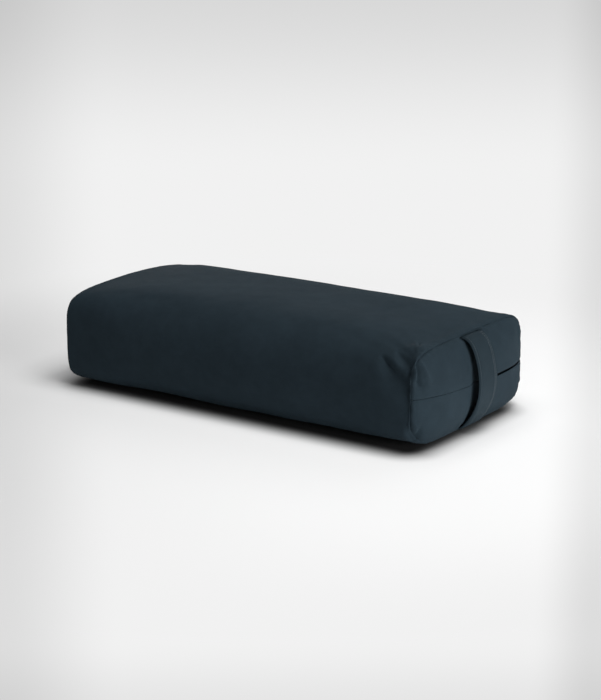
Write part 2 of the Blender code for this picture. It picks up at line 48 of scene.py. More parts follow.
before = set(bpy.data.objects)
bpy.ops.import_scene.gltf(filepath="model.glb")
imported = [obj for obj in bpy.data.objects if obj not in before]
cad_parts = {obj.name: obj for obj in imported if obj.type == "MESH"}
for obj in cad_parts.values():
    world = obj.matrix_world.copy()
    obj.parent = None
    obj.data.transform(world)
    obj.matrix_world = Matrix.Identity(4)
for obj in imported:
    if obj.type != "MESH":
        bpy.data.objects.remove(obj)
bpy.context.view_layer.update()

# The cushion's form, as the frame has it
COVER_WIDTH = 0.305
COVER_HEIGHT = 0.152
CROWN = 0.012
CROWN_POWER = 4.7
SIDE_DRAW = 0.0015
FLOOR_PRESS = 0.008
MIDDLE_SQUARENESS = 3.5
END_SQUARENESS = 5.4
END_BULGE = 0.0225
END_BULGE_POWER = 3.5
SEAM_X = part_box("cover_body")[1].x
MIDDLE_Z = (COVER_HEIGHT - FLOOR_PRESS) / 2
ZIP_SLOPE = math.tan(math.radians(1.9))

# The handle's bow, as the frame has it
STRAP_WIDTH = 2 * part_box("handle_near_sleeve")[1].y
STRAP_THICKNESS = 0.0036
STRAP_HALF_CHORD = 0.0657
STRAP_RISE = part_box("handle_near_sleeve")[1].x - SEAM_X - STRAP_THICKNESS / 2 - 0.0020
STRAP_SAG = 0.0032
STRAP_BOW_POWER = 0.72
STRAP_DROOP_UP = 0.30
STRAP_DROOP_DOWN = 0.15

# The cover's grid: cuts along X, Y and Z, and how far the lines crowd towards the edges
COVER_CUTS = (69, 39, 19)
COVER_CROWDING = (0.75, 0.6, 0.6)

# How near to the cube's faces and middle a point counts as lying on them, and the least that
# a power is taken of
NEAR = 1e-6
ON_FACE = 1 - NEAR
ABOVE_NOTHING = 1e-30

# The filling of the cover: its frames, its cloth, how far the seams hold the cloth, where it
# has room to spare, and where it keeps to the plain form
FILL_FRAMES = 20
FILLED_CLOTH = {
    "quality": 6, "mass": 0.3, "tension_stiffness": 15, "compression_stiffness": 15,
    "shear_stiffness": 8, "bending_stiffness": 0.6, "use_pressure": True,
}
LEAST_WEIGHT = 0.01
HELD_REACH = 0.006
SPARE_REACH = 0.05
SPARE_FROM_Y = 0.09
SPARE_FROM_Z = 0.06
CALM_LENGTH = 0.16
CALM_FROM_Y = -0.05
CALM_WIDTH = 0.12

# Where the upright seams slide back: from the seam, and up and down from the middle's height
# as a start and a reach
SLIDE_WIDTH = 0.026
SLIDE_TOP = (0.035, 0.035)
SLIDE_FOOT = (0.052, 0.030)

# The cloth's unevenness as grain, height and shift, the puckers beside the seams, and the
# low ridge behind them as height, distance and width
LONG_WAVES = (0.075, 0.0009, 0.0)
SHORT_WAVES = (0.028, 0.0003, 3.1)
PUCKER_GRAIN = 0.0065
PUCKER_SHIFT = 7.7
FAR_PUCKER = 0.4
SEAM_RIDGE = (0.0007, 0.010, 0.005)

# The slit: where it opens across the panel and where it ends, and its lips
SLIT_OPENS_FROM = -0.024
SLIT_OPENS_OVER = 0.040
SLIT_ENDS_FROM = 0.1475
LIP_WIDTH = 0.0035
LIP_DEPTH = 0.0006

# The cloth: its thickness, what is shown of it beside the turned edge, and the turned edges
CLOTH_THICKNESS = 0.0012
SHOWN_THICKNESS = 0.0008
SHORT_TURN = (0.0012,)
LONG_TURN = (0.0012, 0.0040)

# How the cover's dents reach the layers below it
LAYER_NEIGHBOURS = 5
LAYER_DEPTH = 0.006
LAYER_REACH = 0.030

# The panels behind the handles
STRAP_CLEARANCE = 0.0010
HOLLOW_STEEPNESS = 9
MOST_PRESSED = 0.005

# The handles' ends, edges, hems, cores and stitches; a stitch row is its side, how many insets
# it lies in from the edge, and the depth of its groove
STRAP_TAIL = 0.004
STRAP_CROWDING = 0.35
END_PRESS = 0.6
EDGE_SWELL = 0.0008
EDGE_ROUND = 0.0030
GROOVE_WIDTH = 0.0010
MIDDLE_SINK = 0.00035
HEM_WIDTH = 0.0040
SLEEVE_CUTS = (63, 55, 2)
CORE_CUTS = (63, 11, 2)
CORE_INSET = 0.0050
CORE_THICKNESS = 0.0012
THREAD_RADII = (0.00036, 0.00042)
UNSEWN_ENDS = 0.018
STITCH_ROWS = ((-1, 1, 0.0012), (1, 1, 0.0010), (1, 1.9, 0.0008))

# The tapes: how far their inner edges are drawn in, where they end, and the seam's place
TAPE_DRAW = 0.00076
TAPE_END_Y = 0.136
TAPE_SEAM_Y = 0.148

# The cloths' threads, and the uneven dye's share
CLOTH_PITCH = 0.0006
COTTON_PITCH = 0.0010
MOTTLE = 0.08
WOVEN_SHINE = (
    ("Specular IOR Level", 0.1),
    ("Specular Tint", (0.50, 0.86, 1.0, 1)),
    ("Sheen Roughness", 0.5),
    ("Sheen Tint", (0.50, 0.78, 1.0, 1)),
)

# The studio's sweep and the way its tones blend
SWEEP_WIDTH = 16
SWEEP_DEPTH = 14
SWEEP_HEIGHT = 5
SWEEP_BEND = 2.0
SMOOTH = {"interpolation_type": "SMOOTHSTEP"}


# Selecting and editing

def choose(*objects):
    """Selects only these objects and makes the first one active."""
    if bpy.context.object and bpy.context.object.mode != "OBJECT":
        bpy.ops.object.mode_set(mode="OBJECT")
    for other in bpy.context.selected_objects:
        other.select_set(False)
    for obj in objects:
        obj.select_set(True)
    bpy.context.view_layer.objects.active = objects[0] if objects else None


def start_piece(name):
    """Gives the primitive that was just added the piece's name."""
    obj = bpy.context.active_object
    obj.name = name
    obj.data.name = name
    choose(obj)
    return obj


def placed(name, mesh):
    obj = bpy.data.objects.new(name, mesh)
    bpy.context.scene.collection.objects.link(obj)
    return obj


def settle(obj):
    """Puts the object's place into its mesh."""
    choose(obj)
    bpy.ops.object.transform_apply(location=True, rotation=True, scale=True)


def apply_all(obj):
    choose(obj)
    for modifier in list(obj.modifiers):
        bpy.ops.object.modifier_apply(modifier=modifier.name)


def edit_chosen(obj, kind, chosen_of):
    """Enters edit mode with only those edges, or faces, selected that chosen_of finds."""
    choose(obj)
    bpy.ops.object.mode_set(mode="EDIT")
    bpy.ops.mesh.select_mode(type=kind)
    bpy.ops.mesh.select_all(action="DESELECT")
    bm = bmesh.from_edit_mesh(obj.data)
    for part in chosen_of(bm):
        part.select_set(True)
    bmesh.update_edit_mesh(obj.data)


def soft_shading(obj, angle=40):
    choose(obj)
    bpy.ops.object.shade_smooth_by_angle(angle=math.radians(angle))


def cut_across(obj, axis, cuts):
    """Divides every edge that runs along the axis by a number of cuts."""
    def runs_along(edge):
        way = edge.verts[1].co - edge.verts[0].co
        return abs(way[axis]) > 0.9 * way.length

    edit_chosen(obj, "EDGE", lambda bm: filter(runs_along, bm.edges))
    bpy.ops.mesh.subdivide(number_cuts=cuts)
    bpy.ops.object.mode_set(mode="OBJECT")


def triples(items, key):
    flat = np.empty(len(items) * 3, np.float32)
    items.foreach_get(key, flat)
    return flat.reshape(-1, 3).astype(float)


def points_of(obj):
    return triples(obj.data.vertices, "co")


def normals_of(obj):
    return triples(obj.data.vertex_normals, "vector")


def move_points(obj, points):
    obj.data.vertices.foreach_set("co", np.asarray(points, np.float32).ravel())
    obj.data.update()


def subdivided(obj, kind="CATMULL_CLARK"):
    """Applies one level of subdivision."""
    modifier = obj.modifiers.new("finer", "SUBSURF")
    modifier.subdivision_type = kind
    modifier.levels = 1
    modifier.render_levels = 1
    apply_all(obj)


def made_finer(obj, chosen):
    """Divides the faces whose points are all chosen once more."""
    edit_chosen(obj, "FACE", lambda bm: [
        face for face in bm.faces if all(chosen[v.index] for v in face.verts)
    ])
    bpy.ops.mesh.subdivide(number_cuts=1)
    bpy.ops.object.mode_set(mode="OBJECT")


def fade(distance, reach):
    """1 at distance 0, falling smoothly to 0 at reach."""
    share = np.clip(1 - distance / reach, 0, 1)
    return share * share * (3 - 2 * share)


# Cover

def eased(values, crowding):
    return (1 - crowding) * values + crowding * np.sin(np.pi / 2 * values)


def section(reach, inset):
    """Half width, half height and squareness of the cushion, from its middle (0) to a seam (1)."""
    drawn = reach ** CROWN_POWER
    half_width = COVER_WIDTH / 2 - SIDE_DRAW * drawn - inset
    half_height = (COVER_HEIGHT + FLOOR_PRESS) / 2 - CROWN * drawn - inset
    squareness = MIDDLE_SQUARENESS + (END_SQUARENESS - MIDDLE_SQUARENESS) * drawn
    return half_width, half_height, squareness


def on_cushion(plan, inset):
    """Where points of the cube from -1 to 1 fall on the filled cover, inset from its face."""
    u, s, t = (eased(plan[:, i], COVER_CROWDING[i]) for i in range(3))
    half_width, half_height, power = section(np.abs(u), inset)
    size = np.maximum(np.abs(s), np.abs(t))
    share = size * (np.abs(s) ** power + np.abs(t) ** power + ABOVE_NOTHING) ** (-1 / power)
    y = half_width * s * share
    z = MIDDLE_Z + half_height * t * share
    x = u * SEAM_X + np.sign(u) * (END_BULGE - inset) * (1 - size ** END_BULGE_POWER)
    slit_side = plan[:, 0] > ON_FACE
    z -= np.where(slit_side, y * ZIP_SLOPE * (1 - np.abs(t)), 0)
    return np.stack([x, y, np.maximum(z, 0)], 1)


def seam_parts(plan):
    """Which of the cube's points lie on the two end seams, and which on the zip's slit."""
    at_end = np.abs(plan[:, 0]) > ON_FACE
    rim = np.maximum(np.abs(plan[:, 1]), np.abs(plan[:, 2])) > ON_FACE
    slit = (plan[:, 0] > ON_FACE) & (np.abs(plan[:, 2]) < NEAR)
    return at_end & rim, slit


def fill_out(cover, start, held, roomy):
    """Blows the cover up between its held seams and returns the points, with their move capped."""
    settings = bpy.context.scene.bolster_cover
    for name, weights in (("held", held), ("roomy", roomy)):
        group = cover.vertex_groups.new(name=name)
        for i in np.flatnonzero(weights > LEAST_WEIGHT):
            group.add([int(i)], float(weights[i]), "REPLACE")
    move_points(cover, start)
    modifier = cover.modifiers.new("filling", "CLOTH")
    cloth = modifier.settings
    for key, value in FILLED_CLOTH.items():
        setattr(cloth, key, value)
    cloth.uniform_pressure_force = settings.pressure
    cloth.effector_weights.gravity = 0
    cloth.vertex_group_mass = "held"
    cloth.vertex_group_shrink = "roomy"
    cloth.shrink_min = 0
    cloth.shrink_max = -settings.spare_cloth
    modifier.collision_settings.use_collision = False
    modifier.collision_settings.use_self_collision = False
    modifier.point_cache.frame_start = 1
    modifier.point_cache.frame_end = FILL_FRAMES
    for frame_number in range(1, FILL_FRAMES + 1):
        bpy.context.scene.frame_set(frame_number)
    filled = points_of(cover.evaluated_get(bpy.context.evaluated_depsgraph_get()))
    cover.modifiers.remove(modifier)
    bpy.context.scene.frame_set(1)
    move = filled - start
    length = np.linalg.norm(move, axis=1, keepdims=True)
    capped = settings.move_cap * np.tanh(length / settings.move_cap)
    return start + move * capped / np.maximum(length, 1e-9)


# The near corner's folds: the part they run on, the places they pass, half width, height and
# lean; a fold that leans is gentler on its lower side
FOLDS = (
    ("wrap", ((0.2445, -0.1392, 0.1244), (0.2540, -0.1443, 0.1175), (0.2628, -0.1470, 0.1113),
              (0.2705, -0.1485, 0.1055), (0.2790, -0.1492, 0.1000), (0.2880, -0.1501, 0.0930),
              (0.2940, -0.1505, 0.0880)), 0.0122, -0.0066, 0.35),
    ("wrap", ((0.2430, -0.1385, 0.1252), (0.2540, -0.1443, 0.1175), (0.2620, -0.1466, 0.1118)),
     0.0024, -0.0012, 0.5),
    ("wrap", ((0.2560, -0.1380, 0.1270), (0.2715, -0.1440, 0.1212), (0.2825, -0.1471, 0.1150),
              (0.2890, -0.1490, 0.1080)), 0.0056, 0.0007, 0.0),
    ("wrap", ((0.2631, -0.1304, 0.1315), (0.2765, -0.1383, 0.1265), (0.2863, -0.1443, 0.1206),
              (0.2900, -0.1466, 0.1156)), 0.0104, -0.0052, 0.1),
    ("both", ((0.2892, -0.1458, 0.1190), (0.2913, -0.1485, 0.1060)), 0.0044, -0.0040, 0.0),
    ("wrap", ((0.2715, -0.1200, 0.1375), (0.2800, -0.1150, 0.1378), (0.2890, -0.1165, 0.1365),
              (0.2945, -0.1215, 0.1340)), 0.0110, 0.0040, 0.0),
    ("panel", ((0.2900, -0.1390, 0.1271), (0.2934, -0.1433, 0.1222), (0.2974, -0.1453, 0.1158),
               (0.2991, -0.1460, 0.1060)), 0.0028, 0.0028, 0.0),
    ("panel", ((0.2949, -0.1385, 0.1274), (0.2989, -0.1412, 0.1200), (0.3012, -0.1412, 0.1080),
               (0.3012, -0.1423, 0.0960)), 0.0034, -0.0042, 0.0),
    ("panel", ((0.2963, -0.1340, 0.1288), (0.3015, -0.1340, 0.1215), (0.3046, -0.1300, 0.1108),
               (0.3065, -0.1265, 0.0987)), 0.0046, 0.0030, 0.0),
    ("panel", ((0.3012, -0.1420, 0.1020), (0.3038, -0.1380, 0.0930)), 0.0044, -0.0024, 0.0),
    ("both", ((0.2943, -0.1496, 0.0458), (0.2968, -0.1468, 0.0359), (0.2991, -0.1415, 0.0262)),
     0.0019, -0.0016, 0.0),
    ("panel", ((0.3035, -0.1346, 0.0380), (0.3018, -0.1384, 0.0321), (0.2995, -0.1408, 0.0262)),
     0.0034, -0.0044, 0.0),
    ("panel", ((0.2984, -0.1462, 0.0440), (0.2992, -0.1440, 0.0345)), 0.0038, 0.0030, 0.0),
)
# The same folds come at the other corners: X and Y direction, strength, and how far they stray
CORNERS = (
    ((1, 1), 1.0, 0.0),
    ((1, -1), 0.40, 0.004),
    ((-1, 1), 0.05, 0.005),
    ((-1, -1), 0.25, 0.005),
)


# Where the cloth is drawn aside as a whole: place, move, reach, and how near the seam it has
# to be
DRAWN = (
    ((0.2975, -0.1460, 0.0160), (-0.0040, 0.0050, 0.0060), 0.020, 0.016),
    ((-0.3080, 0.0000, 0.1400), (0.0, 0.0, 0.0026), 0.070, 0.120),
    ((-0.3080, 0.1350, 0.1350), (0.0030, -0.0030, -0.0034), 0.045, 0.080),
)
# The way to the camera that the folds' places were found from
LOOKED_FROM = np.array([0.5470, -0.7953, 0.2613])
# How much of a distance along that way is left out, how fast a leaning fold tips over, and the
# grain and seed of the folds' straying, which would otherwise differ from run to run
SIGHT_SHARE = 0.75
LEAN_REACH = 0.002
STRAY_GRAIN = 30
STRAY_SEED = 1
# Along its stroke a fold rises over a part of a half wave, to a power, and grows wider
RISE_START = 0.10
RISE_SPAN = 0.72
RISE_POWER = 0.8
WIDTH_START = 0.42
WIDTH_GAIN = 0.66


def draw_cloth(points, from_seam):
    """Moves the cloth bodily at a few places, such as the seam's lower corner."""
    for place, move, reach, near_seam in DRAWN:
        distance = np.linalg.norm(points - place, axis=1)
        share = np.exp(-((distance / reach) ** 2)) * fade(from_seam, near_seam)
        points += share[:, None] * np.array(move)


def upright_share(normals):
    """1 on the long sides, 0 on the top, the underside and the end panels."""
    return np.clip(1.6 * np.abs(normals[:, 1]) - 0.3, 0, 1)


def slide_seam(points, normals, from_seam):
    """Draws the zipped end's upright seams back along the sides, so that its panels wrap round."""
    settings = bpy.context.scene.bolster_cover
    share = upright_share(normals) * fade(from_seam, SLIDE_WIDTH)
    for way, (start, reach) in ((1, SLIDE_TOP), (-1, SLIDE_FOOT)):
        share *= fade(way * (points[:, 2] - MIDDLE_Z) - start, reach)
    points[:, 0] -= np.where(points[:, 0] > 0, settings.seam_slide * share, 0)


def along_stroke(points, places, looked_from):
    """Each point's distance from a stroke through several places, its share of the way along,
    and its height above the stroke; the distance along the line of sight counts little."""
    lengths = np.linalg.norm(np.diff(places, axis=0), axis=1)
    least = np.full(len(points), np.inf)
    share = np.zeros(len(points))
    above = np.zeros(len(points))
    for i, length in enumerate(lengths):
        way = places[i + 1] - places[i]
        part = np.clip((points - places[i]) @ way / length ** 2, 0, 1)
        off = points - places[i] - part[:, None] * way
        off -= SIGHT_SHARE * (off @ looked_from)[:, None] * looked_from
        distance = np.linalg.norm(off, axis=1)
        closer = distance < least
        least[closer] = distance[closer]
        share[closer] = (lengths[:i].sum() + part[closer] * length) / lengths.sum()
        above[closer] = off[closer, 2]
    return least, share, above


def fold_heights(points, on_wrap, from_seam):
    """How far the folds push each point out along its normal."""
    noise.seed_set(STRAY_SEED)
    height = np.zeros(len(points))
    clear = 1 - fade(from_seam, 0.0020)
    masks = {"wrap": on_wrap * clear, "panel": ~on_wrap * clear, "both": 1}
    for number, ((x_way, y_way), strength, stray) in enumerate(CORNERS):
        corner = np.array([x_way, y_way, 1])
        shift = Vector((number, 0, 0))
        for part, places, width, rise, lean in FOLDS:
            where = np.array(places)
            for place in where:
                place += stray * np.array(noise.noise_vector(Vector(place) * STRAY_GRAIN + shift))
            distance, share, above = along_stroke(points, where * corner, LOOKED_FROM * corner)
            distance = distance * (1 + lean * np.tanh(above / LEAN_REACH))
            run = np.sin(np.pi * (RISE_START + RISE_SPAN * share)) ** RISE_POWER
            bell = np.exp(-((distance / (width * (WIDTH_START + WIDTH_GAIN * share))) ** 2))
            height += masks[part] * strength * rise * run * bell
    return height


def waviness(points, grain, height, shift=0.0):
    """A gentle unevenness of the cloth."""
    return np.array([height * noise.noise(Vector(p) / grain) for p in points + shift])


def nearest(points, seam_points):
    """Each point's distance to the seam's points, and the index of the nearest."""
    tree = tree_of(seam_points)
    found = [tree.find(p) for p in points]
    return np.array([f[2] for f in found]), np.array([f[1] for f in found])


def tree_of(places, numbers=None):
    """A search tree of places, each under its index unless other numbers are given."""
    tree = kdtree.KDTree(len(places))
    for i, place in enumerate(places):
        tree.insert(place, i if numbers is None else int(numbers[i]))
    tree.balance()
    return tree


def slit_opening(y):
    """Half the width that the slit gapes: shut beside the near corner, open past the handle."""
    settings = bpy.context.scene.bolster_cover
    open_share = 1 - fade(y - SLIT_OPENS_FROM, SLIT_OPENS_OVER)
    width = settings.slit_shut + (settings.slit_open - settings.slit_shut) * open_share
    return width / 2 * fade(np.abs(y) - SLIT_ENDS_FROM, 0.004)


def shape_cover(cover, plan):
    """Draws the seams in, lays the folds and presses the cloth under the handles' roots."""
    settings = bpy.context.scene.bolster_cover
    points = points_of(cover)
    normals = normals_of(cover)
    on_seam, on_slit = seam_parts(plan)
    on_wrap = np.abs(plan[:, 0]) < ON_FACE
    from_seam, which = nearest(points, points[on_seam])
    from_slit, _ = nearest(points, points[on_slit])
    flat = on_wrap * upright_share(normals)
    roll = np.clip(1 - from_seam / (settings.seam_width * (1 - 0.6 * flat)), 0, 1) ** 2
    inward = -normals[on_seam][which]
    moved = points + settings.seam_depth * roll[:, None] * inward
    slide_seam(moved, normals, from_seam)
    draw_cloth(moved, from_seam)
    heights = fold_heights(moved, on_wrap, from_seam)
    heights += waviness(points, *LONG_WAVES) * (1 - fade(from_seam, 0.02))
    heights += waviness(points, *SHORT_WAVES)
    pucker = waviness(points, PUCKER_GRAIN, settings.pucker, PUCKER_SHIFT)
    pucker *= fade(from_seam, 0.013) * (1 - fade(from_seam, 0.0012))
    heights += pucker * np.where(points[:, 0] > 0, 1, FAR_PUCKER)
    ridge_height, ridge_place, ridge_width = SEAM_RIDGE
    ridge = np.exp(-(((from_seam - ridge_place) / ridge_width) ** 2))
    heights += ridge_height * ridge * (1 - flat)
    lip = np.clip(1 - from_slit / LIP_WIDTH, 0, 1) ** 2 * (plan[:, 0] > ON_FACE)
    heights -= LIP_DEPTH * lip * fade(0.004 - from_seam, 0.004)
    moved += heights[:, None] * normals
    press_under_straps(moved, ~on_wrap)
    moved[:, 2] = np.maximum(moved[:, 2], 0)
    move_points(cover, moved)
    face = on_cushion(plan, 0)
    sunk = np.maximum(((face - moved) * normals).sum(1), 0)
    PRESSED.update(face=face, push=-sunk[:, None] * normals)


# How far the finished cover lies inside the plain cushion, for the layers below it
PRESSED = {}


def press_layers(obj):
    """Moves an inner layer's points in wherever the cover is drawn in above them."""
    tree = tree_of(PRESSED["face"])
    points = points_of(obj)
    for i, place in enumerate(points):
        found = tree.find_n(place, LAYER_NEIGHBOURS)
        shares = np.array([1 / (f[2] + 1e-5) ** 2 for f in found])
        push = shares @ PRESSED["push"][[f[1] for f in found]] / shares.sum()
        points[i] += push * float(fade(found[0][2] - LAYER_DEPTH, LAYER_REACH))
    points[:, 2] = np.maximum(points[:, 2], CLOTH_THICKNESS)
    move_points(obj, points)


def press_under_straps(points, on_panels):
    """Keeps the end panels just behind the handles' inner faces."""
    line, outward, _ = BOW
    settings = bpy.context.scene.bolster_handle
    across = np.abs(points[:, 1] - settings.offset * np.sign(points[:, 0]))
    up = np.clip(1 - np.abs(points[:, 2] - MIDDLE_Z) / STRAP_HALF_CHORD, 0, 1)
    hollow = settings.hollow * fade(across - 0.012, 0.024) * np.minimum(up * HOLLOW_STEEPNESS, 1)
    points[:, 0] -= np.where(on_panels, np.sign(points[:, 0]) * hollow, 0)
    inner = line - outward * (STRAP_THICKNESS / 2 + STRAP_CLEARANCE)
    order = np.argsort(inner[:, 1])
    limit = np.interp(points[:, 2], inner[order, 1], inner[order, 0])
    excess = np.maximum(np.abs(points[:, 0]) - limit, 0)
    beside = np.maximum(across - STRAP_WIDTH / 2 - STRAP_CLEARANCE, 0)
    within = np.abs(points[:, 2] - MIDDLE_Z) < STRAP_HALF_CHORD - 0.0015
    push = np.minimum(excess, MOST_PRESSED) * fade(beside, 0.012)
    points[:, 0] -= np.sign(points[:, 0]) * np.where(on_panels & within, push, 0)


def part_of_cover(plan_middle):
    """The piece that a face belongs to, from the cube's point at its middle."""
    if plan_middle[0] > ON_FACE:
        return 1 if plan_middle[2] > 0 else 2
    return 3 if plan_middle[0] < -ON_FACE else 0


def cut_cover(cover, plan):
    """Separates the wrap and the panels and returns them in the order of COVER_PIECES."""
    faces = [part_of_cover(plan[list(f.vertices)].mean(0)) for f in cover.data.polygons]
    marker = cover.data.attributes.new("piece", "INT", "FACE")
    marker.data.foreach_set("value", faces)
    pieces = [cover]
    for number in (1, 2, 3):
        edit_chosen(cover, "FACE", lambda bm: [
            face for face in bm.faces if face[bm.faces.layers.int["piece"]] == number
        ])
        bpy.ops.mesh.separate(type="SELECTED")
        bpy.ops.object.mode_set(mode="OBJECT")
        pieces += [o for o in bpy.context.selected_objects if o != cover]
    return pieces


def turn_in(obj, steps, way_at):
    """Extrudes the piece's open edges in steps; way_at gives each point's way for a step."""
    for number, depth in enumerate(steps):
        edit_chosen(obj, "EDGE", lambda bm: [edge for edge in bm.edges if edge.is_boundary])
        bpy.ops.mesh.extrude_edges_move()
        bm = bmesh.from_edit_mesh(obj.data)
        for vertex in bm.verts:
            if vertex.select:
                vertex.co += depth * way_at(vertex.co, number)
        bmesh.update_edit_mesh(obj.data)
        bpy.ops.object.mode_set(mode="OBJECT")


def lay_weave(obj, on_wrap=False):
    """Gives the piece a UV map in metres that the weave follows: along it, and round or up it."""
    layer = obj.data.uv_layers.new(name="weave")
    points = points_of(obj)
    normals = normals_of(obj)
    loops = np.empty(len(obj.data.loops), np.int32)
    obj.data.loops.foreach_get("vertex_index", loops)
    if on_wrap:
        flat = np.abs(normals[:, 2]) > np.abs(normals[:, 1])
        uv = np.stack([points[:, 0], np.where(flat, points[:, 1], points[:, 2])], 1)
    else:
        uv = points[:, 1:3]
    layer.data.foreach_set("uv", uv[loops].astype(np.float32).ravel())


COVER_PIECES = (
    ("cover_wrap", "cover_body"),
    ("near_panel_upper", "end_panel_near_upper"),
    ("near_panel_lower", "end_panel_near_lower"),
    ("far_panel", "end_panel_far"),
)


def make_cover():
    settings = bpy.context.scene.bolster_cover
    bpy.ops.mesh.primitive_cube_add(size=2, location=(0, 0, 0))
    cover = start_piece("cover")
    for axis, cuts in enumerate(COVER_CUTS):
        cut_across(cover, axis, cuts)
    plan = points_of(cover)
    bpy.ops.object.duplicate()
    chart = bpy.context.active_object
    subdivided(chart, "SIMPLE")
    on_seam, on_slit = seam_parts(plan)
    filled = on_cushion(plan, 0)
    filled = filled_cover(cover, plan, filled, on_seam | on_slit)
    move_points(cover, filled)
    subdivided(cover)
    from_corner = points_of(cover) - np.array(settings.fine_place)
    near_corner = np.linalg.norm(from_corner, axis=1) < settings.fine_reach
    for obj in (cover, chart):
        made_finer(obj, near_corner)
    plan = points_of(chart)
    bpy.data.objects.remove(chart)
    shape_cover(cover, plan)
    on_seam, on_slit = seam_parts(plan)
    ways = -normals_of(cover)
    edge_points = np.flatnonzero(on_seam | on_slit)
    tree = tree_of(points_of(cover)[edge_points], edge_points)
    pieces = cut_cover(cover, plan)
    for number, (piece, (name, node)) in enumerate(zip(pieces, COVER_PIECES)):
        piece.name = name
        piece.data.name = name
        piece.data.attributes.remove(piece.data.attributes["piece"])
        finish_cover_piece(piece, number, tree, ways, on_slit, on_seam)
        piece.data.materials.clear()
        piece.data.materials.append(cover_cloth())
        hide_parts(node)
        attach(piece, "bolster")


def filled_cover(cover, plan, plain, on_edge):
    """The cover's points once it is filled; its far corner by the camera keeps its plain form."""
    settings = bpy.context.scene.bolster_cover
    from_seam, _ = nearest(plain, plain[on_edge])
    held = fade(from_seam, HELD_REACH)
    start = on_cushion(plan, settings.fill_room)
    start = start + held[:, None] * (plain - start)
    roomy = fade(from_seam, SPARE_REACH) * (plain[:, 0] > 0)
    roomy *= (np.abs(plain[:, 1]) > SPARE_FROM_Y) * (plain[:, 2] > SPARE_FROM_Z)
    blown = fill_out(cover, start, held, roomy)
    calm = fade(plain[:, 0] + SEAM_X, CALM_LENGTH) * fade(plain[:, 1] - CALM_FROM_Y, CALM_WIDTH)
    filled = blown + calm[:, None] * (plain - blown)
    filled[:, 2] = np.maximum(filled[:, 2], 0)
    return filled


def finish_cover_piece(piece, number, tree, ways, on_slit, on_seam):
    """Opens the slit, turns the seam allowance in and gives the cloth its thickness."""
    points = points_of(piece)
    side = {1: 1, 2: -1}.get(number, 0)
    if side:
        level = MIDDLE_Z - points[:, 1] * ZIP_SLOPE
        away = np.abs(points[:, 2] - level)
        points[:, 2] += side * slit_opening(points[:, 1]) * fade(away, 0.020)
        move_points(piece, points)

    def way_in(place, step):
        _, index, _ = tree.find(place)
        if step:
            return Vector((-1 if place.x > 0 else 1, 0, 0))
        if on_slit[index] and not on_seam[index]:
            return Vector((-1, 0, 0))
        return Vector(ways[index])

    turn_in(piece, SHORT_TURN if number in (0, 1, 2) else LONG_TURN, way_in)
    lay_weave(piece, number == 0)
    cloth = piece.modifiers.new("cloth", "SOLIDIFY")
    cloth.thickness = SHOWN_THICKNESS
    cloth.offset = -1
    apply_all(piece)
    soft_shading(piece, 60)


# Handles

def strap_height(across, half_thickness, rows):
    """Half the strap's thickness: rounded edges, a groove at each stitch row, a lower middle."""
    from_middle = np.abs(across) * STRAP_WIDTH / 2
    edge = np.clip((from_middle - STRAP_WIDTH / 2 + EDGE_ROUND) / EDGE_ROUND, 0, 1)
    height = half_thickness * np.sqrt(np.maximum(1 - 0.96 * edge ** 2, 0))
    for row, depth in rows:
        height -= depth * np.exp(-(((across - row) * STRAP_WIDTH / 2 / GROOVE_WIDTH) ** 2))
    if rows:
        height -= MIDDLE_SINK * (1 - fade(STRAP_WIDTH / 2 - HEM_WIDTH - from_middle, 0.0016))
    return height


def bow_line(count=241):
    """The handle's bow as X, Z, the way out and the length run, from its lower seam upwards."""
    angle = np.linspace(-np.pi / 2, np.pi / 2, count)
    level = np.sin(angle)
    droop = np.where(level > 0, STRAP_DROOP_UP, STRAP_DROOP_DOWN)
    power = 2 * (STRAP_BOW_POWER - droop * level)
    x = SEAM_X + STRAP_RISE * np.maximum(np.cos(angle), 0) ** power
    z = MIDDLE_Z + STRAP_HALF_CHORD * level - STRAP_SAG * (1 + level) / 2
    line = np.stack([x, z], 1)
    ends = []
    for tip, neighbour in ((0, 1), (-1, -2)):
        way = line[tip] - line[neighbour]
        ends.append(line[tip] + STRAP_TAIL * way / np.linalg.norm(way))
    line = np.vstack([ends[0], line, ends[1]])
    run = np.concatenate([[0], np.cumsum(np.linalg.norm(np.diff(line, axis=0), axis=1))])
    along = np.gradient(line, run, axis=0)
    along /= np.linalg.norm(along, axis=1, keepdims=True)
    return line, np.stack([along[:, 1], -along[:, 0]], 1), run


def on_bow(run_at, across, out, side):
    """A point of the handle: its place along the bow, across it and above the strap's middle."""
    line, outward, run = BOW
    parts = [np.interp(run_at, run, line[:, i]) for i in (0, 1)]
    ways = [np.interp(run_at, run, outward[:, i]) for i in (0, 1)]
    x, z = (part + out * way for part, way in zip(parts, ways))
    offset = bpy.context.scene.bolster_handle.offset
    return np.stack([side * x, across + side * offset + 0 * x, z], -1)


BOW = bow_line()
BOW_LENGTH = BOW[2][-1]


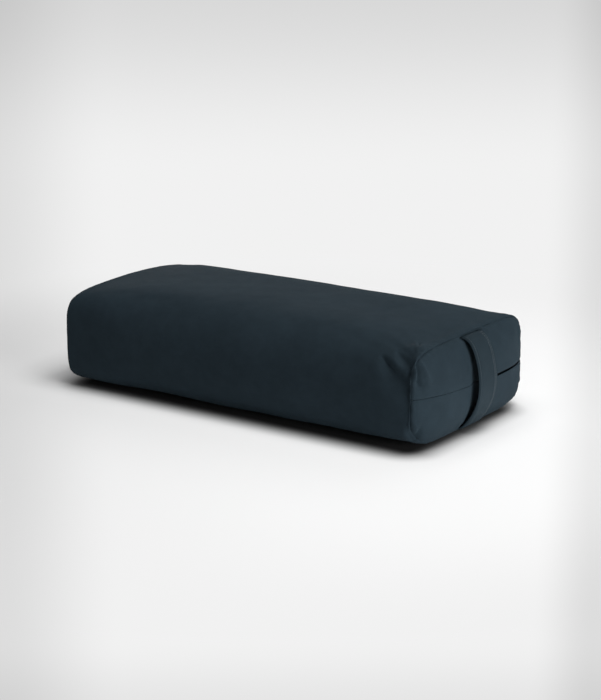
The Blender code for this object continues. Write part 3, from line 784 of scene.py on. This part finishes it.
def strap(name, side, half_width, half_thickness, rows, cuts):
    """A flat strap bent to the bow, with its ends pressed thin and turned into the seams."""
    bpy.ops.mesh.primitive_cube_add(size=2, location=(0, 0, 0))
    made = start_piece(name)
    for axis, count in enumerate(cuts):
        cut_across(made, axis, count)
    plan = points_of(made)
    across = eased(plan[:, 1], STRAP_CROWDING)
    height = strap_height(across, half_thickness, rows)
    run_at = (plan[:, 0] + 1) / 2 * BOW_LENGTH
    from_end = np.minimum(run_at, BOW_LENGTH - run_at)
    pressed = 1 - END_PRESS * fade(from_end, 0.010)
    rounded = EDGE_SWELL * (1 - plan[:, 2] ** 2) * (np.abs(plan[:, 1]) > ON_FACE)
    place = across * half_width + np.sign(across) * rounded
    out = plan[:, 2] * height * pressed + max(half_thickness - STRAP_THICKNESS / 2, 0) * pressed
    points = on_bow(run_at, place, out, side)
    if side < 0:
        made.data.flip_normals()
    move_points(made, points)
    subdivided(made)
    lay_weave(made)
    soft_shading(made, 60)
    return made


def stitches(name, side, rows, out):
    """Rows of short stitches along the strap's outer face, modelled once and copied."""
    settings = bpy.context.scene.bolster_handle
    bpy.ops.mesh.primitive_uv_sphere_add(segments=8, ring_count=6, radius=1, location=(0, 0, 0))
    stitch = start_piece(name)
    stitch.scale = (*THREAD_RADII, settings.stitch_length / 2)
    settle(stitch)
    source = stitch.data.copy()
    _, outward, run = BOW
    count = int((BOW_LENGTH - UNSEWN_ENDS) / settings.stitch_pitch)
    copies = []
    for row, depth in rows:
        for i in range(count):
            run_at = BOW_LENGTH / 2 + (i - (count - 1) / 2) * settings.stitch_pitch
            way = [np.interp(run_at, run, outward[:, k]) for k in (0, 1)]
            copy = placed(name, source.copy())
            turn = Matrix.Rotation(-math.atan2(way[1], way[0]), 4, "Y")
            place = Vector(on_bow(run_at, row * STRAP_WIDTH / 2, out - depth, side))
            copy.data.transform(turn)
            if side < 0:
                copy.data.transform(Matrix.Diagonal((-1, 1, 1, 1)))
                copy.data.flip_normals()
            copy.data.transform(Matrix.Translation(place))
            copies.append(copy)
    bpy.data.objects.remove(stitch)
    choose(*copies)
    bpy.ops.object.join()
    made = start_piece(name)
    bpy.ops.object.shade_smooth()
    return made


def make_handles():
    settings = bpy.context.scene.bolster_handle
    half = STRAP_WIDTH / 2
    rows = [
        (way * (1 - inset * settings.stitch_inset / half), depth)
        for way, inset, depth in STITCH_ROWS
    ]
    thick = settings.thickness / 2
    out = thick + max(thick - STRAP_THICKNESS / 2, 0) + 0.00005
    for end, side in (("near", 1), ("far", -1)):
        sleeve = strap(f"handle_{end}_strap", side, half, thick, rows, SLEEVE_CUTS)
        sleeve.data.materials.append(handle_cloth())
        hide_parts(f"handle_{end}_sleeve")
        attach(sleeve, "bolster")
        core = strap(
            f"handle_{end}_webbing", side, half - CORE_INSET, CORE_THICKNESS / 2, (), CORE_CUTS,
        )
        core.data.materials.append(webbing())
        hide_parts(f"handle_{end}_core")
        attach(core, "bolster")
        sewn = stitches(f"handle_{end}_stitching", side, rows, out)
        sewn.data.materials.append(thread())
        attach(sewn, "bolster")


# Zip

def softened(node, name, finish, levels=1, puff=0.0, grain=0.02):
    """A finer copy of a soft CAD piece, with rounded edges and a slightly uneven face."""
    made = placed(name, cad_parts[node].data.copy())
    choose(made)
    bpy.ops.object.mode_set(mode="EDIT")
    bpy.ops.mesh.select_mode(type="VERT")
    bpy.ops.mesh.select_all(action="SELECT")
    bpy.ops.mesh.remove_doubles(threshold=0.000002)
    bpy.ops.mesh.tris_convert_to_quads(face_threshold=0.7, shape_threshold=0.7)
    bpy.ops.object.mode_set(mode="OBJECT")
    for _ in range(levels):
        subdivided(made)
    if puff:
        points = points_of(made)
        move = -np.abs(waviness(points, grain, puff))
        move_points(made, points + move[:, None] * normals_of(made))
    press_layers(made)
    soft_shading(made, 60)
    made.data.materials.clear()
    made.data.materials.append(finish)
    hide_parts(node)
    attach(made, "bolster")
    return made


def bring_together(tape):
    """Draws the tape's inner edge to the zip's middle line and its open end into the side seam."""
    points = points_of(tape)
    above = points[:, 2] - MIDDLE_Z + points[:, 1] * ZIP_SLOPE
    points[:, 2] -= np.sign(above) * TAPE_DRAW * fade(np.abs(above) - 0.0010, 0.0015)
    drawn = (TAPE_SEAM_Y - points[:, 1]) * 0.9 * fade(TAPE_END_Y - points[:, 1], 0.016)
    points += drawn[:, None] * np.array([-0.5, 1.0, -ZIP_SLOPE])
    move_points(tape, points)


def make_zip():
    for label in ("upper", "lower"):
        tape = softened(f"zip_tape_{label}", f"tape_{label}", zip_tape())
        bring_together(tape)
        softened(f"zip_coil_{label}", f"coil_{label}", zip_coil(), 0)
        finish_node(f"zip_top_stop_{label}", zip_metal())
    for node in ("zip_bottom_stop", "zip_slider", "zip_pull_tab"):
        finish_node(node, zip_metal())


def finish_node(node, finish):
    """Gives a CAD piece that is shown its material."""
    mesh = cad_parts[node].data
    mesh.materials.clear()
    mesh.materials.append(finish)


# Filling

def make_filling():
    for node in ("liner_body", "liner_near_end", "liner_far_end"):
        softened(node, f"inner_{node}", liner_cotton())
    for node in ("wadding_wrap", "wadding_near_pad", "wadding_far_pad"):
        made = softened(node, f"fluffy_{node}", wadding(), 1, 0.0012, 0.012)
    softened("foam_core", "foam_block", foam(), 1, 0.0004, 0.01)


# Materials

class Nodes:
    """A material under construction: each call adds a node and links its inputs."""

    def __init__(self, name):
        self.material = bpy.data.materials.new(name)
        self.material.use_nodes = True
        self.tree = self.material.node_tree
        self.shader = self.tree.nodes["Principled BSDF"]

    def add(self, kind, inputs=(), **settings):
        node = self.tree.nodes.new(kind)
        for key, value in settings.items():
            setattr(node, key, value)
        for key, value in dict(inputs).items():
            self.set(node, key, value)
        return node

    def set(self, node, key, value):
        if isinstance(value, bpy.types.NodeSocket):
            self.tree.links.new(value, node.inputs[key])
        else:
            node.inputs[key].default_value = value

    def math(self, operation, *values):
        node = self.add("ShaderNodeMath", enumerate(values), operation=operation)
        return node.outputs[0]

    def place(self):
        return self.add("ShaderNodeTexCoord").outputs["Object"]

    def along_and_up(self, vector):
        return self.add("ShaderNodeSeparateXYZ", {"Vector": vector}).outputs

    def noise(self, vector, scale, detail=2.0, roughness=0.5):
        node = self.add("ShaderNodeTexNoise", {
            "Vector": vector, "Scale": scale, "Detail": detail, "Roughness": roughness,
        })
        return node.outputs["Fac"]

    def spread(self, value, to_low, to_high, low=0.3, high=0.7, **settings):
        node = self.add("ShaderNodeMapRange", {
            "Value": value, "From Min": low, "From Max": high,
            "To Min": to_low, "To Max": to_high,
        }, **settings)
        return node.outputs["Result"]

    def tinted(self, colour, *shares):
        """The colour times each share, as a colour socket."""
        share = shares[0]
        for other in shares[1:]:
            share = self.math("MULTIPLY", share, other)
        scaled = self.add("ShaderNodeVectorMath", {0: colour, "Scale": share}, operation="SCALE")
        return scaled.outputs[0]

    def bump(self, height, distance, strength, below=None):
        inputs = {"Height": height, "Distance": distance, "Strength": strength}
        if below is not None:
            inputs["Normal"] = below
        return self.add("ShaderNodeBump", inputs).outputs["Normal"]

    def weave(self, vector, pitch):
        """A plain weave's height from 0 to 1, with threads pitch apart."""
        parts = self.along_and_up(vector)
        waves = []
        for i in (0, 1):
            turned = self.math("MULTIPLY", parts[i], math.pi / pitch)
            waves.append(self.math("SINE", turned))
        return self.math("ABSOLUTE", self.math("MULTIPLY", *waves))

    def surface(self, colour, roughness, relief):
        """Sets the shader's colour, roughness and relief."""
        for key, value in zip(("Base Color", "Roughness", "Normal"), (colour, roughness, relief)):
            self.set(self.shader, key, value)


def made_once(name):
    """Lets a finish build its material under this name at the first call, and find it after."""
    def wrap(build):
        def finish():
            if name not in bpy.data.materials:
                build(Nodes(name))
            return bpy.data.materials[name]
        return finish
    return wrap


def woven(nodes, colour, pitch, roughness, sheen):
    """A matt woven cloth: threads, painted shade between them, a little fuzz and an uneven dye."""
    body = nodes.place()
    weave_map = nodes.add("ShaderNodeUVMap", uv_map="weave").outputs["UV"]
    threads = nodes.weave(weave_map, pitch)
    dye = nodes.spread(nodes.noise(body, 9, 3), 1 - MOTTLE, 1 + MOTTLE)
    nap = nodes.spread(nodes.noise(body, 55, 3, 0.6), 1 - MOTTLE, 1 + MOTTLE)
    fuzz = nodes.noise(body, 900, 2, 0.7)
    # The last tone paints the cloth darker between its threads, where the weave sinks: painted
    # shade.
    tones = (dye, nap, nodes.spread(fuzz, 0.93, 1.07), nodes.spread(threads, 0.90, 1.05, 0, 1))
    soft = nodes.bump(nodes.noise(body, 60, 3), 0.0006, 0.5)
    nodes.surface(
        nodes.tinted(colour, *tones),
        nodes.spread(fuzz, roughness - 0.05, roughness + 0.05),
        nodes.bump(threads, pitch * 0.2, 0.35, soft),
    )
    for key, value in (*WOVEN_SHINE, ("Sheen Weight", sheen)):
        nodes.shader.inputs[key].default_value = value


@made_once("cover_cloth_woven")
def cover_cloth(nodes):
    woven(nodes, bpy.context.scene.bolster_cover.colour, CLOTH_PITCH, 0.88, 0.03)


@made_once("handle_cloth_woven")
def handle_cloth(nodes):
    woven(nodes, bpy.context.scene.bolster_handle.colour, CLOTH_PITCH, 0.86, 0.03)


@made_once("sewing_thread")
def thread(nodes):
    wave = nodes.add("ShaderNodeTexWave", {
        "Vector": nodes.place(), "Scale": 900.0, "Distortion": 1.0,
    }, bands_direction="DIAGONAL").outputs["Fac"]
    # Painted shade: the thread is darker in the grooves of its twist, where the bump sinks.
    tone = nodes.spread(wave, 0.85, 1.1, 0, 1)
    colour = nodes.tinted(bpy.context.scene.bolster_handle.thread_colour, tone)
    nodes.surface(colour, 0.6, nodes.bump(wave, 0.00008, 0.5))


@made_once("webbing_woven")
def webbing(nodes):
    woven(nodes, (0.025, 0.028, 0.032), 0.0016, 0.9, 0.05)


@made_once("zip_tape_woven")
def zip_tape(nodes):
    body = nodes.place()
    ribs = nodes.add("ShaderNodeTexWave", {
        "Vector": body, "Scale": 320.0, "Distortion": 0.6, "Detail": 1.0,
    }, bands_direction="Y").outputs["Fac"]
    tone = nodes.spread(nodes.noise(body, 400, 2), 0.88, 1.12)
    colour = nodes.tinted(bpy.context.scene.bolster_zip.tape_colour, tone)
    nodes.surface(colour, 0.9, nodes.bump(ribs, 0.00012, 0.6))


@made_once("zip_coil_nylon")
def zip_coil(nodes):
    body = nodes.place()
    tone = nodes.spread(nodes.noise(body, 500, 2), 0.9, 1.1)
    colour = nodes.tinted(bpy.context.scene.bolster_zip.coil_colour, tone)
    rough = nodes.spread(nodes.noise(body, 900, 2), 0.36, 0.52)
    nodes.surface(colour, rough, nodes.bump(nodes.noise(body, 1500), 0.00005, 0.4))


@made_once("zip_metal_painted")
def zip_metal(nodes):
    grain = nodes.noise(nodes.place(), 700, 3, 0.6)
    tone = nodes.spread(grain, 0.85, 1.3, 0.35, 0.7)
    colour = nodes.tinted(bpy.context.scene.bolster_zip.metal_colour, tone)
    nodes.shader.inputs["Metallic"].default_value = 0.85
    nodes.surface(colour, nodes.spread(grain, 0.34, 0.5), nodes.bump(grain, 0.00004, 0.4))


@made_once("liner_cotton_woven")
def liner_cotton(nodes):
    """Undyed cotton with painted shade between its threads, which follow the object's own space.
    """
    body = nodes.place()
    threads = nodes.weave(body, COTTON_PITCH)
    flecks = nodes.spread(nodes.noise(body, 260, 3, 0.7), 0.9, 1.08, 0.35, 0.75)
    # Painted shade: darker between the threads, where the weave sinks.
    tone = nodes.spread(threads, 0.88, 1.04, 0, 1)
    colour = nodes.tinted((0.62, 0.60, 0.55), flecks, tone)
    nodes.surface(colour, 0.95, nodes.bump(threads, COTTON_PITCH * 0.2, 0.5))


@made_once("wadding_fibres")
def wadding(nodes):
    drawn = nodes.add("ShaderNodeMapping", {
        "Vector": nodes.place(), "Scale": (120.0, 900.0, 900.0),
    })
    fibres = nodes.noise(drawn.outputs["Vector"], 1.0, 4, 0.7)
    colour = nodes.tinted((0.80, 0.80, 0.78), nodes.spread(fibres, 0.82, 1.08))
    nodes.surface(colour, 1.0, nodes.bump(fibres, 0.0010, 0.8))


@made_once("foam_cells")
def foam(nodes):
    cells = nodes.add("ShaderNodeTexVoronoi", {"Vector": nodes.place(), "Scale": 700.0})
    depth = cells.outputs["Distance"]
    # Painted shade: each cell is darker in its pit, where the bump sinks.
    colour = nodes.tinted((0.72, 0.70, 0.62), nodes.spread(depth, 0.78, 1.05, 0, 0.7))
    nodes.surface(colour, 0.95, nodes.bump(depth, 0.0006, 0.6))


# Studio

@made_once("studio_paper")
def studio_paper(nodes):
    """Pale paper: lit near the bolster, further off an even tone, with painted shade at its edges.
    """
    settings = bpy.context.scene.bolster_studio
    turned = nodes.add("ShaderNodeMapping", {
        "Vector": nodes.place(), "Rotation": (0, 0, -math.radians(settings.camera_azimuth)),
    })
    x, y, z = nodes.along_and_up(turned.outputs["Vector"])
    elevation = math.radians(settings.camera_elevation)
    back = settings.camera_distance * math.cos(elevation)
    height = MIDDLE_Z + settings.camera_distance * math.sin(elevation)
    depth = nodes.math("MAXIMUM", nodes.math("ADD", y, back), 0.5)
    beside = nodes.math("DIVIDE", x, depth)
    below = nodes.math("DIVIDE", nodes.math("SUBTRACT", height, z), depth)
    tone = settings.paper_tone
    # Painted shade: the tone falls towards the view's edges, on the lit paper and its glow alike.
    for value, start, end, share in (
        (beside, -0.090, -0.160, settings.left_painted_shade),
        (beside, 0.130, 0.165, settings.right_painted_shade),
        (below, 0.180, 0.075, settings.far_painted_shade),
        (below, 0.435, 0.480, settings.near_painted_shade),
    ):
        edge = nodes.spread(value, 1.0, share, start, end, **SMOOTH)
        tone = nodes.math("MULTIPLY", tone, edge)
    away = nodes.add("ShaderNodeVectorMath", {0: nodes.place()}, operation="LENGTH")
    reaches = (settings.lit_reach, settings.even_reach)
    even = nodes.spread(away.outputs["Value"], 0.0, 1.0, *reaches, **SMOOTH)
    camera_ray = nodes.add("ShaderNodeLightPath").outputs["Is Camera Ray"]
    lit = nodes.math("MULTIPLY", tone, settings.lit_tone / settings.paper_tone)
    lit = nodes.math("MULTIPLY", lit, contact_shade(nodes))
    seen = nodes.math("MULTIPLY", camera_ray, nodes.math("SUBTRACT", lit, settings.bounce))
    nodes.set(nodes.shader, "Base Color", nodes.math("ADD", seen, settings.bounce))
    nodes.shader.inputs["Roughness"].default_value = 1.0
    nodes.shader.inputs["Specular IOR Level"].default_value = 0.0
    glow = nodes.add("ShaderNodeEmission", {"Color": nodes.tinted(settings.colour, tone)})
    mixed = nodes.add("ShaderNodeMixShader", {
        0: nodes.math("MULTIPLY", camera_ray, even),
        1: nodes.shader.outputs["BSDF"],
        2: glow.outputs["Emission"],
    })
    nodes.set(nodes.tree.nodes["Material Output"], "Surface", mixed.outputs["Shader"])


def contact_shade(nodes):
    """The camera's share of the paper's tone close to the bolster, where little light comes."""
    settings = bpy.context.scene.bolster_studio
    x, y, _ = nodes.along_and_up(nodes.place())
    skewed = nodes.math("MULTIPLY_ADD", x, settings.shade_skew, y)
    squares = []
    for value, middle, half in ((x, 0.0, 0.275), (skewed, -0.010, 0.110)):
        off = nodes.math("ABSOLUTE", nodes.math("SUBTRACT", value, middle))
        outside = nodes.math("MAXIMUM", nodes.math("SUBTRACT", off, half), 0.0)
        squares.append(nodes.math("MULTIPLY", outside, outside))
    distance = nodes.math("SQRT", nodes.math("ADD", *squares))
    reaches = (settings.shade_core, settings.shade_reach)
    return nodes.spread(distance, settings.shade_tone, 1.0, *reaches, **SMOOTH)


# The softboxes: place, aim, width, height and share of the lamps' power
SOFTBOXES = (
    ("top_softbox", (0, 0, 3.0), (0, 0, 0), 2.6, 2.6, 33),
    ("upper_right_softbox", (1.13, 0.0, 2.56), (0, 0, 0), 1.5, 1.5, 38),
    ("low_right_softbox", (2.69, -0.77, 0.475), (0, 0, 0.475), 1.5, 0.94, 52),
    ("left_rear_softbox", (-1.88, 1.88, 0.87), (0, 0, 0), 1.5, 1.5, 12.5),
    ("rear_softbox", (0, 2.08, 1.87), (0, 0, 0), 1.5, 1.5, 6.6),
    ("floor_card", (0.390, -0.03, 0.003), (0.390, -0.03, 1.0), 0.10, 0.30, 0.09),
)


def softbox(name, place, aim, width, height, power):
    bpy.ops.object.light_add(type="AREA", location=place)
    lamp = bpy.context.active_object
    lamp.name = name
    lamp.data.shape = "RECTANGLE"
    lamp.data.size = width
    lamp.data.size_y = height
    lamp.data.energy = power
    lamp.visible_camera = False
    way = Vector(aim) - Vector(place)
    lamp.rotation_euler = way.to_track_quat("-Z", "Y").to_euler()


def make_studio():
    settings = bpy.context.scene.bolster_studio
    bpy.ops.mesh.primitive_plane_add(size=1, location=(0, 0, 0))
    sweep = start_piece("studio_sweep")
    sweep.scale = (SWEEP_WIDTH, SWEEP_DEPTH, 1)
    settle(sweep)
    edit_chosen(sweep, "EDGE", lambda bm: [e for e in bm.edges if at_back(e)])
    bpy.ops.mesh.extrude_region_move(TRANSFORM_OT_translate={"value": (0, 0, SWEEP_HEIGHT)})
    edit_chosen(sweep, "EDGE", lambda bm: [
        e for e in bm.edges if at_back(e) and all(v.co.z < 0.1 for v in e.verts)
    ])
    bpy.ops.mesh.bevel(offset=SWEEP_BEND, segments=24, affect="EDGES")
    bpy.ops.object.mode_set(mode="OBJECT")
    sweep.rotation_euler.z = math.radians(settings.camera_azimuth)
    settle(sweep)
    bpy.ops.object.shade_smooth()
    sweep.data.materials.append(studio_paper())
    for name, place, aim, width, height, power in SOFTBOXES:
        softbox(name, place, aim, width, height, power * settings.power)
    make_air()
    bpy.context.scene.view_settings.view_transform = "Standard"
    make_camera(settings)


def at_back(edge):
    return all(v.co.y > SWEEP_DEPTH / 2 - 0.1 for v in edge.verts)


def make_air():
    """A world that only the camera sees, pale behind the sweep's ends; it lights nothing."""
    world = bpy.data.worlds.new("studio_air")
    bpy.context.scene.world = world
    world.use_nodes = True
    nodes = world.node_tree.nodes
    camera_ray = nodes.new("ShaderNodeLightPath").outputs["Is Camera Ray"]
    world.node_tree.links.new(camera_ray, nodes["Background"].inputs["Strength"])
    nodes["Background"].inputs["Color"].default_value = (0.92, 0.92, 0.92, 1.0)


def make_camera(settings):
    a, e = math.radians(settings.camera_azimuth), math.radians(settings.camera_elevation)
    back = Vector((math.sin(a) * math.cos(e), -math.cos(a) * math.cos(e), math.sin(e)))
    aim = Vector((0, 0, MIDDLE_Z))
    bpy.ops.object.camera_add(location=aim + back * settings.camera_distance)
    camera = bpy.context.active_object
    camera.name = "photo_camera"
    camera.rotation_euler = (-back).to_track_quat("-Z", "Y").to_euler()
    camera.data.sensor_width = 36
    camera.data.lens = settings.lens
    camera.data.shift_x = settings.shift_x
    camera.data.shift_y = settings.shift_y
    camera.data.dof.use_dof = False
    camera.data.clip_end = 60
    bpy.context.scene.camera = camera


# The add-on's settings, operators and panel

def length(name, description, default, low=0.0, high=1.0):
    return FloatProperty(
        name=name, description=description, default=default, min=low, max=high,
        precision=4, unit="LENGTH",
    )


def tint(name, description, default):
    return FloatVectorProperty(
        name=name, description=description, default=default, size=3, min=0, max=1,
        subtype="COLOR",
    )


def number(name, description, default):
    return FloatProperty(name=name, description=description, default=default)


class CoverSettings(bpy.types.PropertyGroup):
    colour: tint("Cloth colour", "Colour of the cover's cloth", (0.0155, 0.0236, 0.0306))
    pressure: number("Pressure", "How hard the filling presses", 3.0)
    spare_cloth: number("Spare cloth", "Share of extra cloth at the corners", 0.03)
    fill_room: length("Fill room", "How much smaller the cover starts than it fills", 0.0018)
    move_cap: length("Move cap", "How far the filling may move the cloth", 0.0032)
    seam_width: length("Seam width", "How far from a seam the cloth starts to roll in", 0.0045)
    seam_slide: length("Seam slide", "How far the upright seams lie back from the edges", 0.0036)
    seam_depth: length("Seam depth", "How deep the seams are drawn in", 0.0021)
    pucker: length("Pucker", "How uneven the cloth is beside a seam", 0.0009)
    fine_place: FloatVectorProperty(
        name="Fine place", description="Middle of the finest part of the cloth", size=3,
        default=(0.285, -0.142, 0.105), subtype="XYZ", unit="LENGTH",
    )
    fine_reach: length("Fine reach", "How far the finest part reaches", 0.058)
    slit_shut: length("Slit shut", "Gap of the slit from the near corner to the handle", 0.0006)
    slit_open: length("Slit open", "Gap of the slit past the handle", 0.0036)


class HandleSettings(bpy.types.PropertyGroup):
    colour: tint("Cloth colour", "Colour of the handles' cloth", (0.0145, 0.0215, 0.0272))
    thread_colour: tint("Thread colour", "Colour of the handles' stitching", (0.048, 0.066, 0.080))
    thickness: length("Thickness", "Thickness of the padded handle", 0.0048)
    offset: length("Offset", "How far the handle sits off the middle", -0.0015, -0.1, 0.1)
    hollow: length("Hollow", "How deep the panel lies under the handle", 0.0055)
    stitch_inset: length("Stitch inset", "How far in from the edge the stitches run", 0.0040)
    stitch_length: length("Stitch length", "Length of one stitch", 0.0027)
    stitch_pitch: length("Stitch pitch", "From one stitch to the next", 0.0034)


class ZipSettings(bpy.types.PropertyGroup):
    tape_colour: tint("Tape colour", "Colour of the zip's tapes", (0.018, 0.022, 0.028))
    coil_colour: tint("Coil colour", "Colour of the zip's coils", (0.020, 0.023, 0.028))
    metal_colour: tint("Metal colour", "Colour of the slider and stops", (0.030, 0.032, 0.036))


class StudioSettings(bpy.types.PropertyGroup):
    colour: tint("Paper colour", "Colour of the studio's paper", (1.0, 1.0, 1.0))
    lit_tone: number("Lit tone", "The paper's tone near the bolster", 0.935)
    paper_tone: number("Even tone", "The paper's tone further off", 0.88)
    # The next four paint the paper darker towards the view's edges: painted shade.
    left_painted_shade: number("Left tone", "Its share at the view's left", 0.82)
    right_painted_shade: number("Right tone", "Its share at the right", 0.82)
    far_painted_shade: number("Far tone", "Its share far behind", 0.77)
    near_painted_shade: number("Near tone", "Its share close by", 0.89)
    lit_reach: length("Lit reach", "How far the paper shows the lamps' light", 0.42, 0, 20)
    even_reach: length("Even reach", "From where the paper's tone is even", 0.90, 0, 20)
    shade_tone: number("Shade tone", "The paper's share at the bolster", 0.05)
    shade_skew: number("Shade skew", "How much more it reaches at the zip", 0.020)
    shade_core: length("Shade core", "How far the full shade reaches", 0.006)
    shade_reach: length("Shade reach", "Where the shade ends", 0.064)
    bounce: number("Bounce", "How much light the paper throws back", 0.92)
    power: number("Power", "Strength of all the softboxes", 1.08)
    camera_azimuth: number("Azimuth", "Camera's turn in degrees", 34.52)
    camera_elevation: number("Elevation", "Camera's height in degrees", 15.15)
    camera_distance: length("Distance", "From the camera to the bolster", 2.88685, 0, 20)
    lens: number("Lens", "Focal length in millimetres", 102.07)
    shift_x: number("Shift X", "Camera shift across", 0.0143)
    shift_y: number("Shift Y", "Camera shift up", -0.0054)


class BOLSTER_OT_cover(bpy.types.Operator):
    """Builds the cover's wrap and its end panels"""
    bl_idname = "bolster.cover"
    bl_label = "Cover"

    def execute(self, context):
        make_cover()
        return {"FINISHED"}


class BOLSTER_OT_handles(bpy.types.Operator):
    """Builds the two carry handles with their stitching"""
    bl_idname = "bolster.handles"
    bl_label = "Handles"

    def execute(self, context):
        make_handles()
        return {"FINISHED"}


class BOLSTER_OT_zip(bpy.types.Operator):
    """Finishes the zip behind the near end panel"""
    bl_idname = "bolster.zip"
    bl_label = "Zip"

    def execute(self, context):
        make_zip()
        return {"FINISHED"}


class BOLSTER_OT_filling(bpy.types.Operator):
    """Builds the inner case, the wadding and the foam block"""
    bl_idname = "bolster.filling"
    bl_label = "Filling"

    def execute(self, context):
        make_filling()
        return {"FINISHED"}


class BOLSTER_OT_studio(bpy.types.Operator):
    """Builds the studio's paper sweep, lamps and camera"""
    bl_idname = "bolster.studio"
    bl_label = "Studio"

    def execute(self, context):
        make_studio()
        return {"FINISHED"}


OPERATORS = (
    BOLSTER_OT_cover,
    BOLSTER_OT_handles,
    BOLSTER_OT_zip,
    BOLSTER_OT_filling,
    BOLSTER_OT_studio,
)
SETTINGS = {
    "bolster_cover": CoverSettings,
    "bolster_handle": HandleSettings,
    "bolster_zip": ZipSettings,
    "bolster_studio": StudioSettings,
}


class BOLSTER_PT_panel(bpy.types.Panel):
    """Lists the bolster's pieces and their settings"""
    bl_label = "Yoga bolster"
    bl_space_type = "VIEW_3D"
    bl_region_type = "UI"
    bl_category = "Bolster"

    def draw(self, context):
        for operator in OPERATORS:
            self.layout.operator(operator.bl_idname)
        for name, group in SETTINGS.items():
            box = self.layout.box()
            for setting in group.__annotations__:
                box.prop(getattr(context.scene, name), setting)


def register():
    for each in (*SETTINGS.values(), *OPERATORS, BOLSTER_PT_panel):
        bpy.utils.register_class(each)
    for name, group in SETTINGS.items():
        setattr(bpy.types.Scene, name, PointerProperty(type=group))


def unregister():
    for name in SETTINGS:
        delattr(bpy.types.Scene, name)
    for each in (BOLSTER_PT_panel, *reversed(OPERATORS), *SETTINGS.values()):
        bpy.utils.unregister_class(each)


def main():
    register()
    bpy.ops.bolster.cover()
    bpy.ops.bolster.handles()
    bpy.ops.bolster.zip()
    bpy.ops.bolster.filling()
    bpy.ops.bolster.studio()


if __name__ == "__main__":
    main()
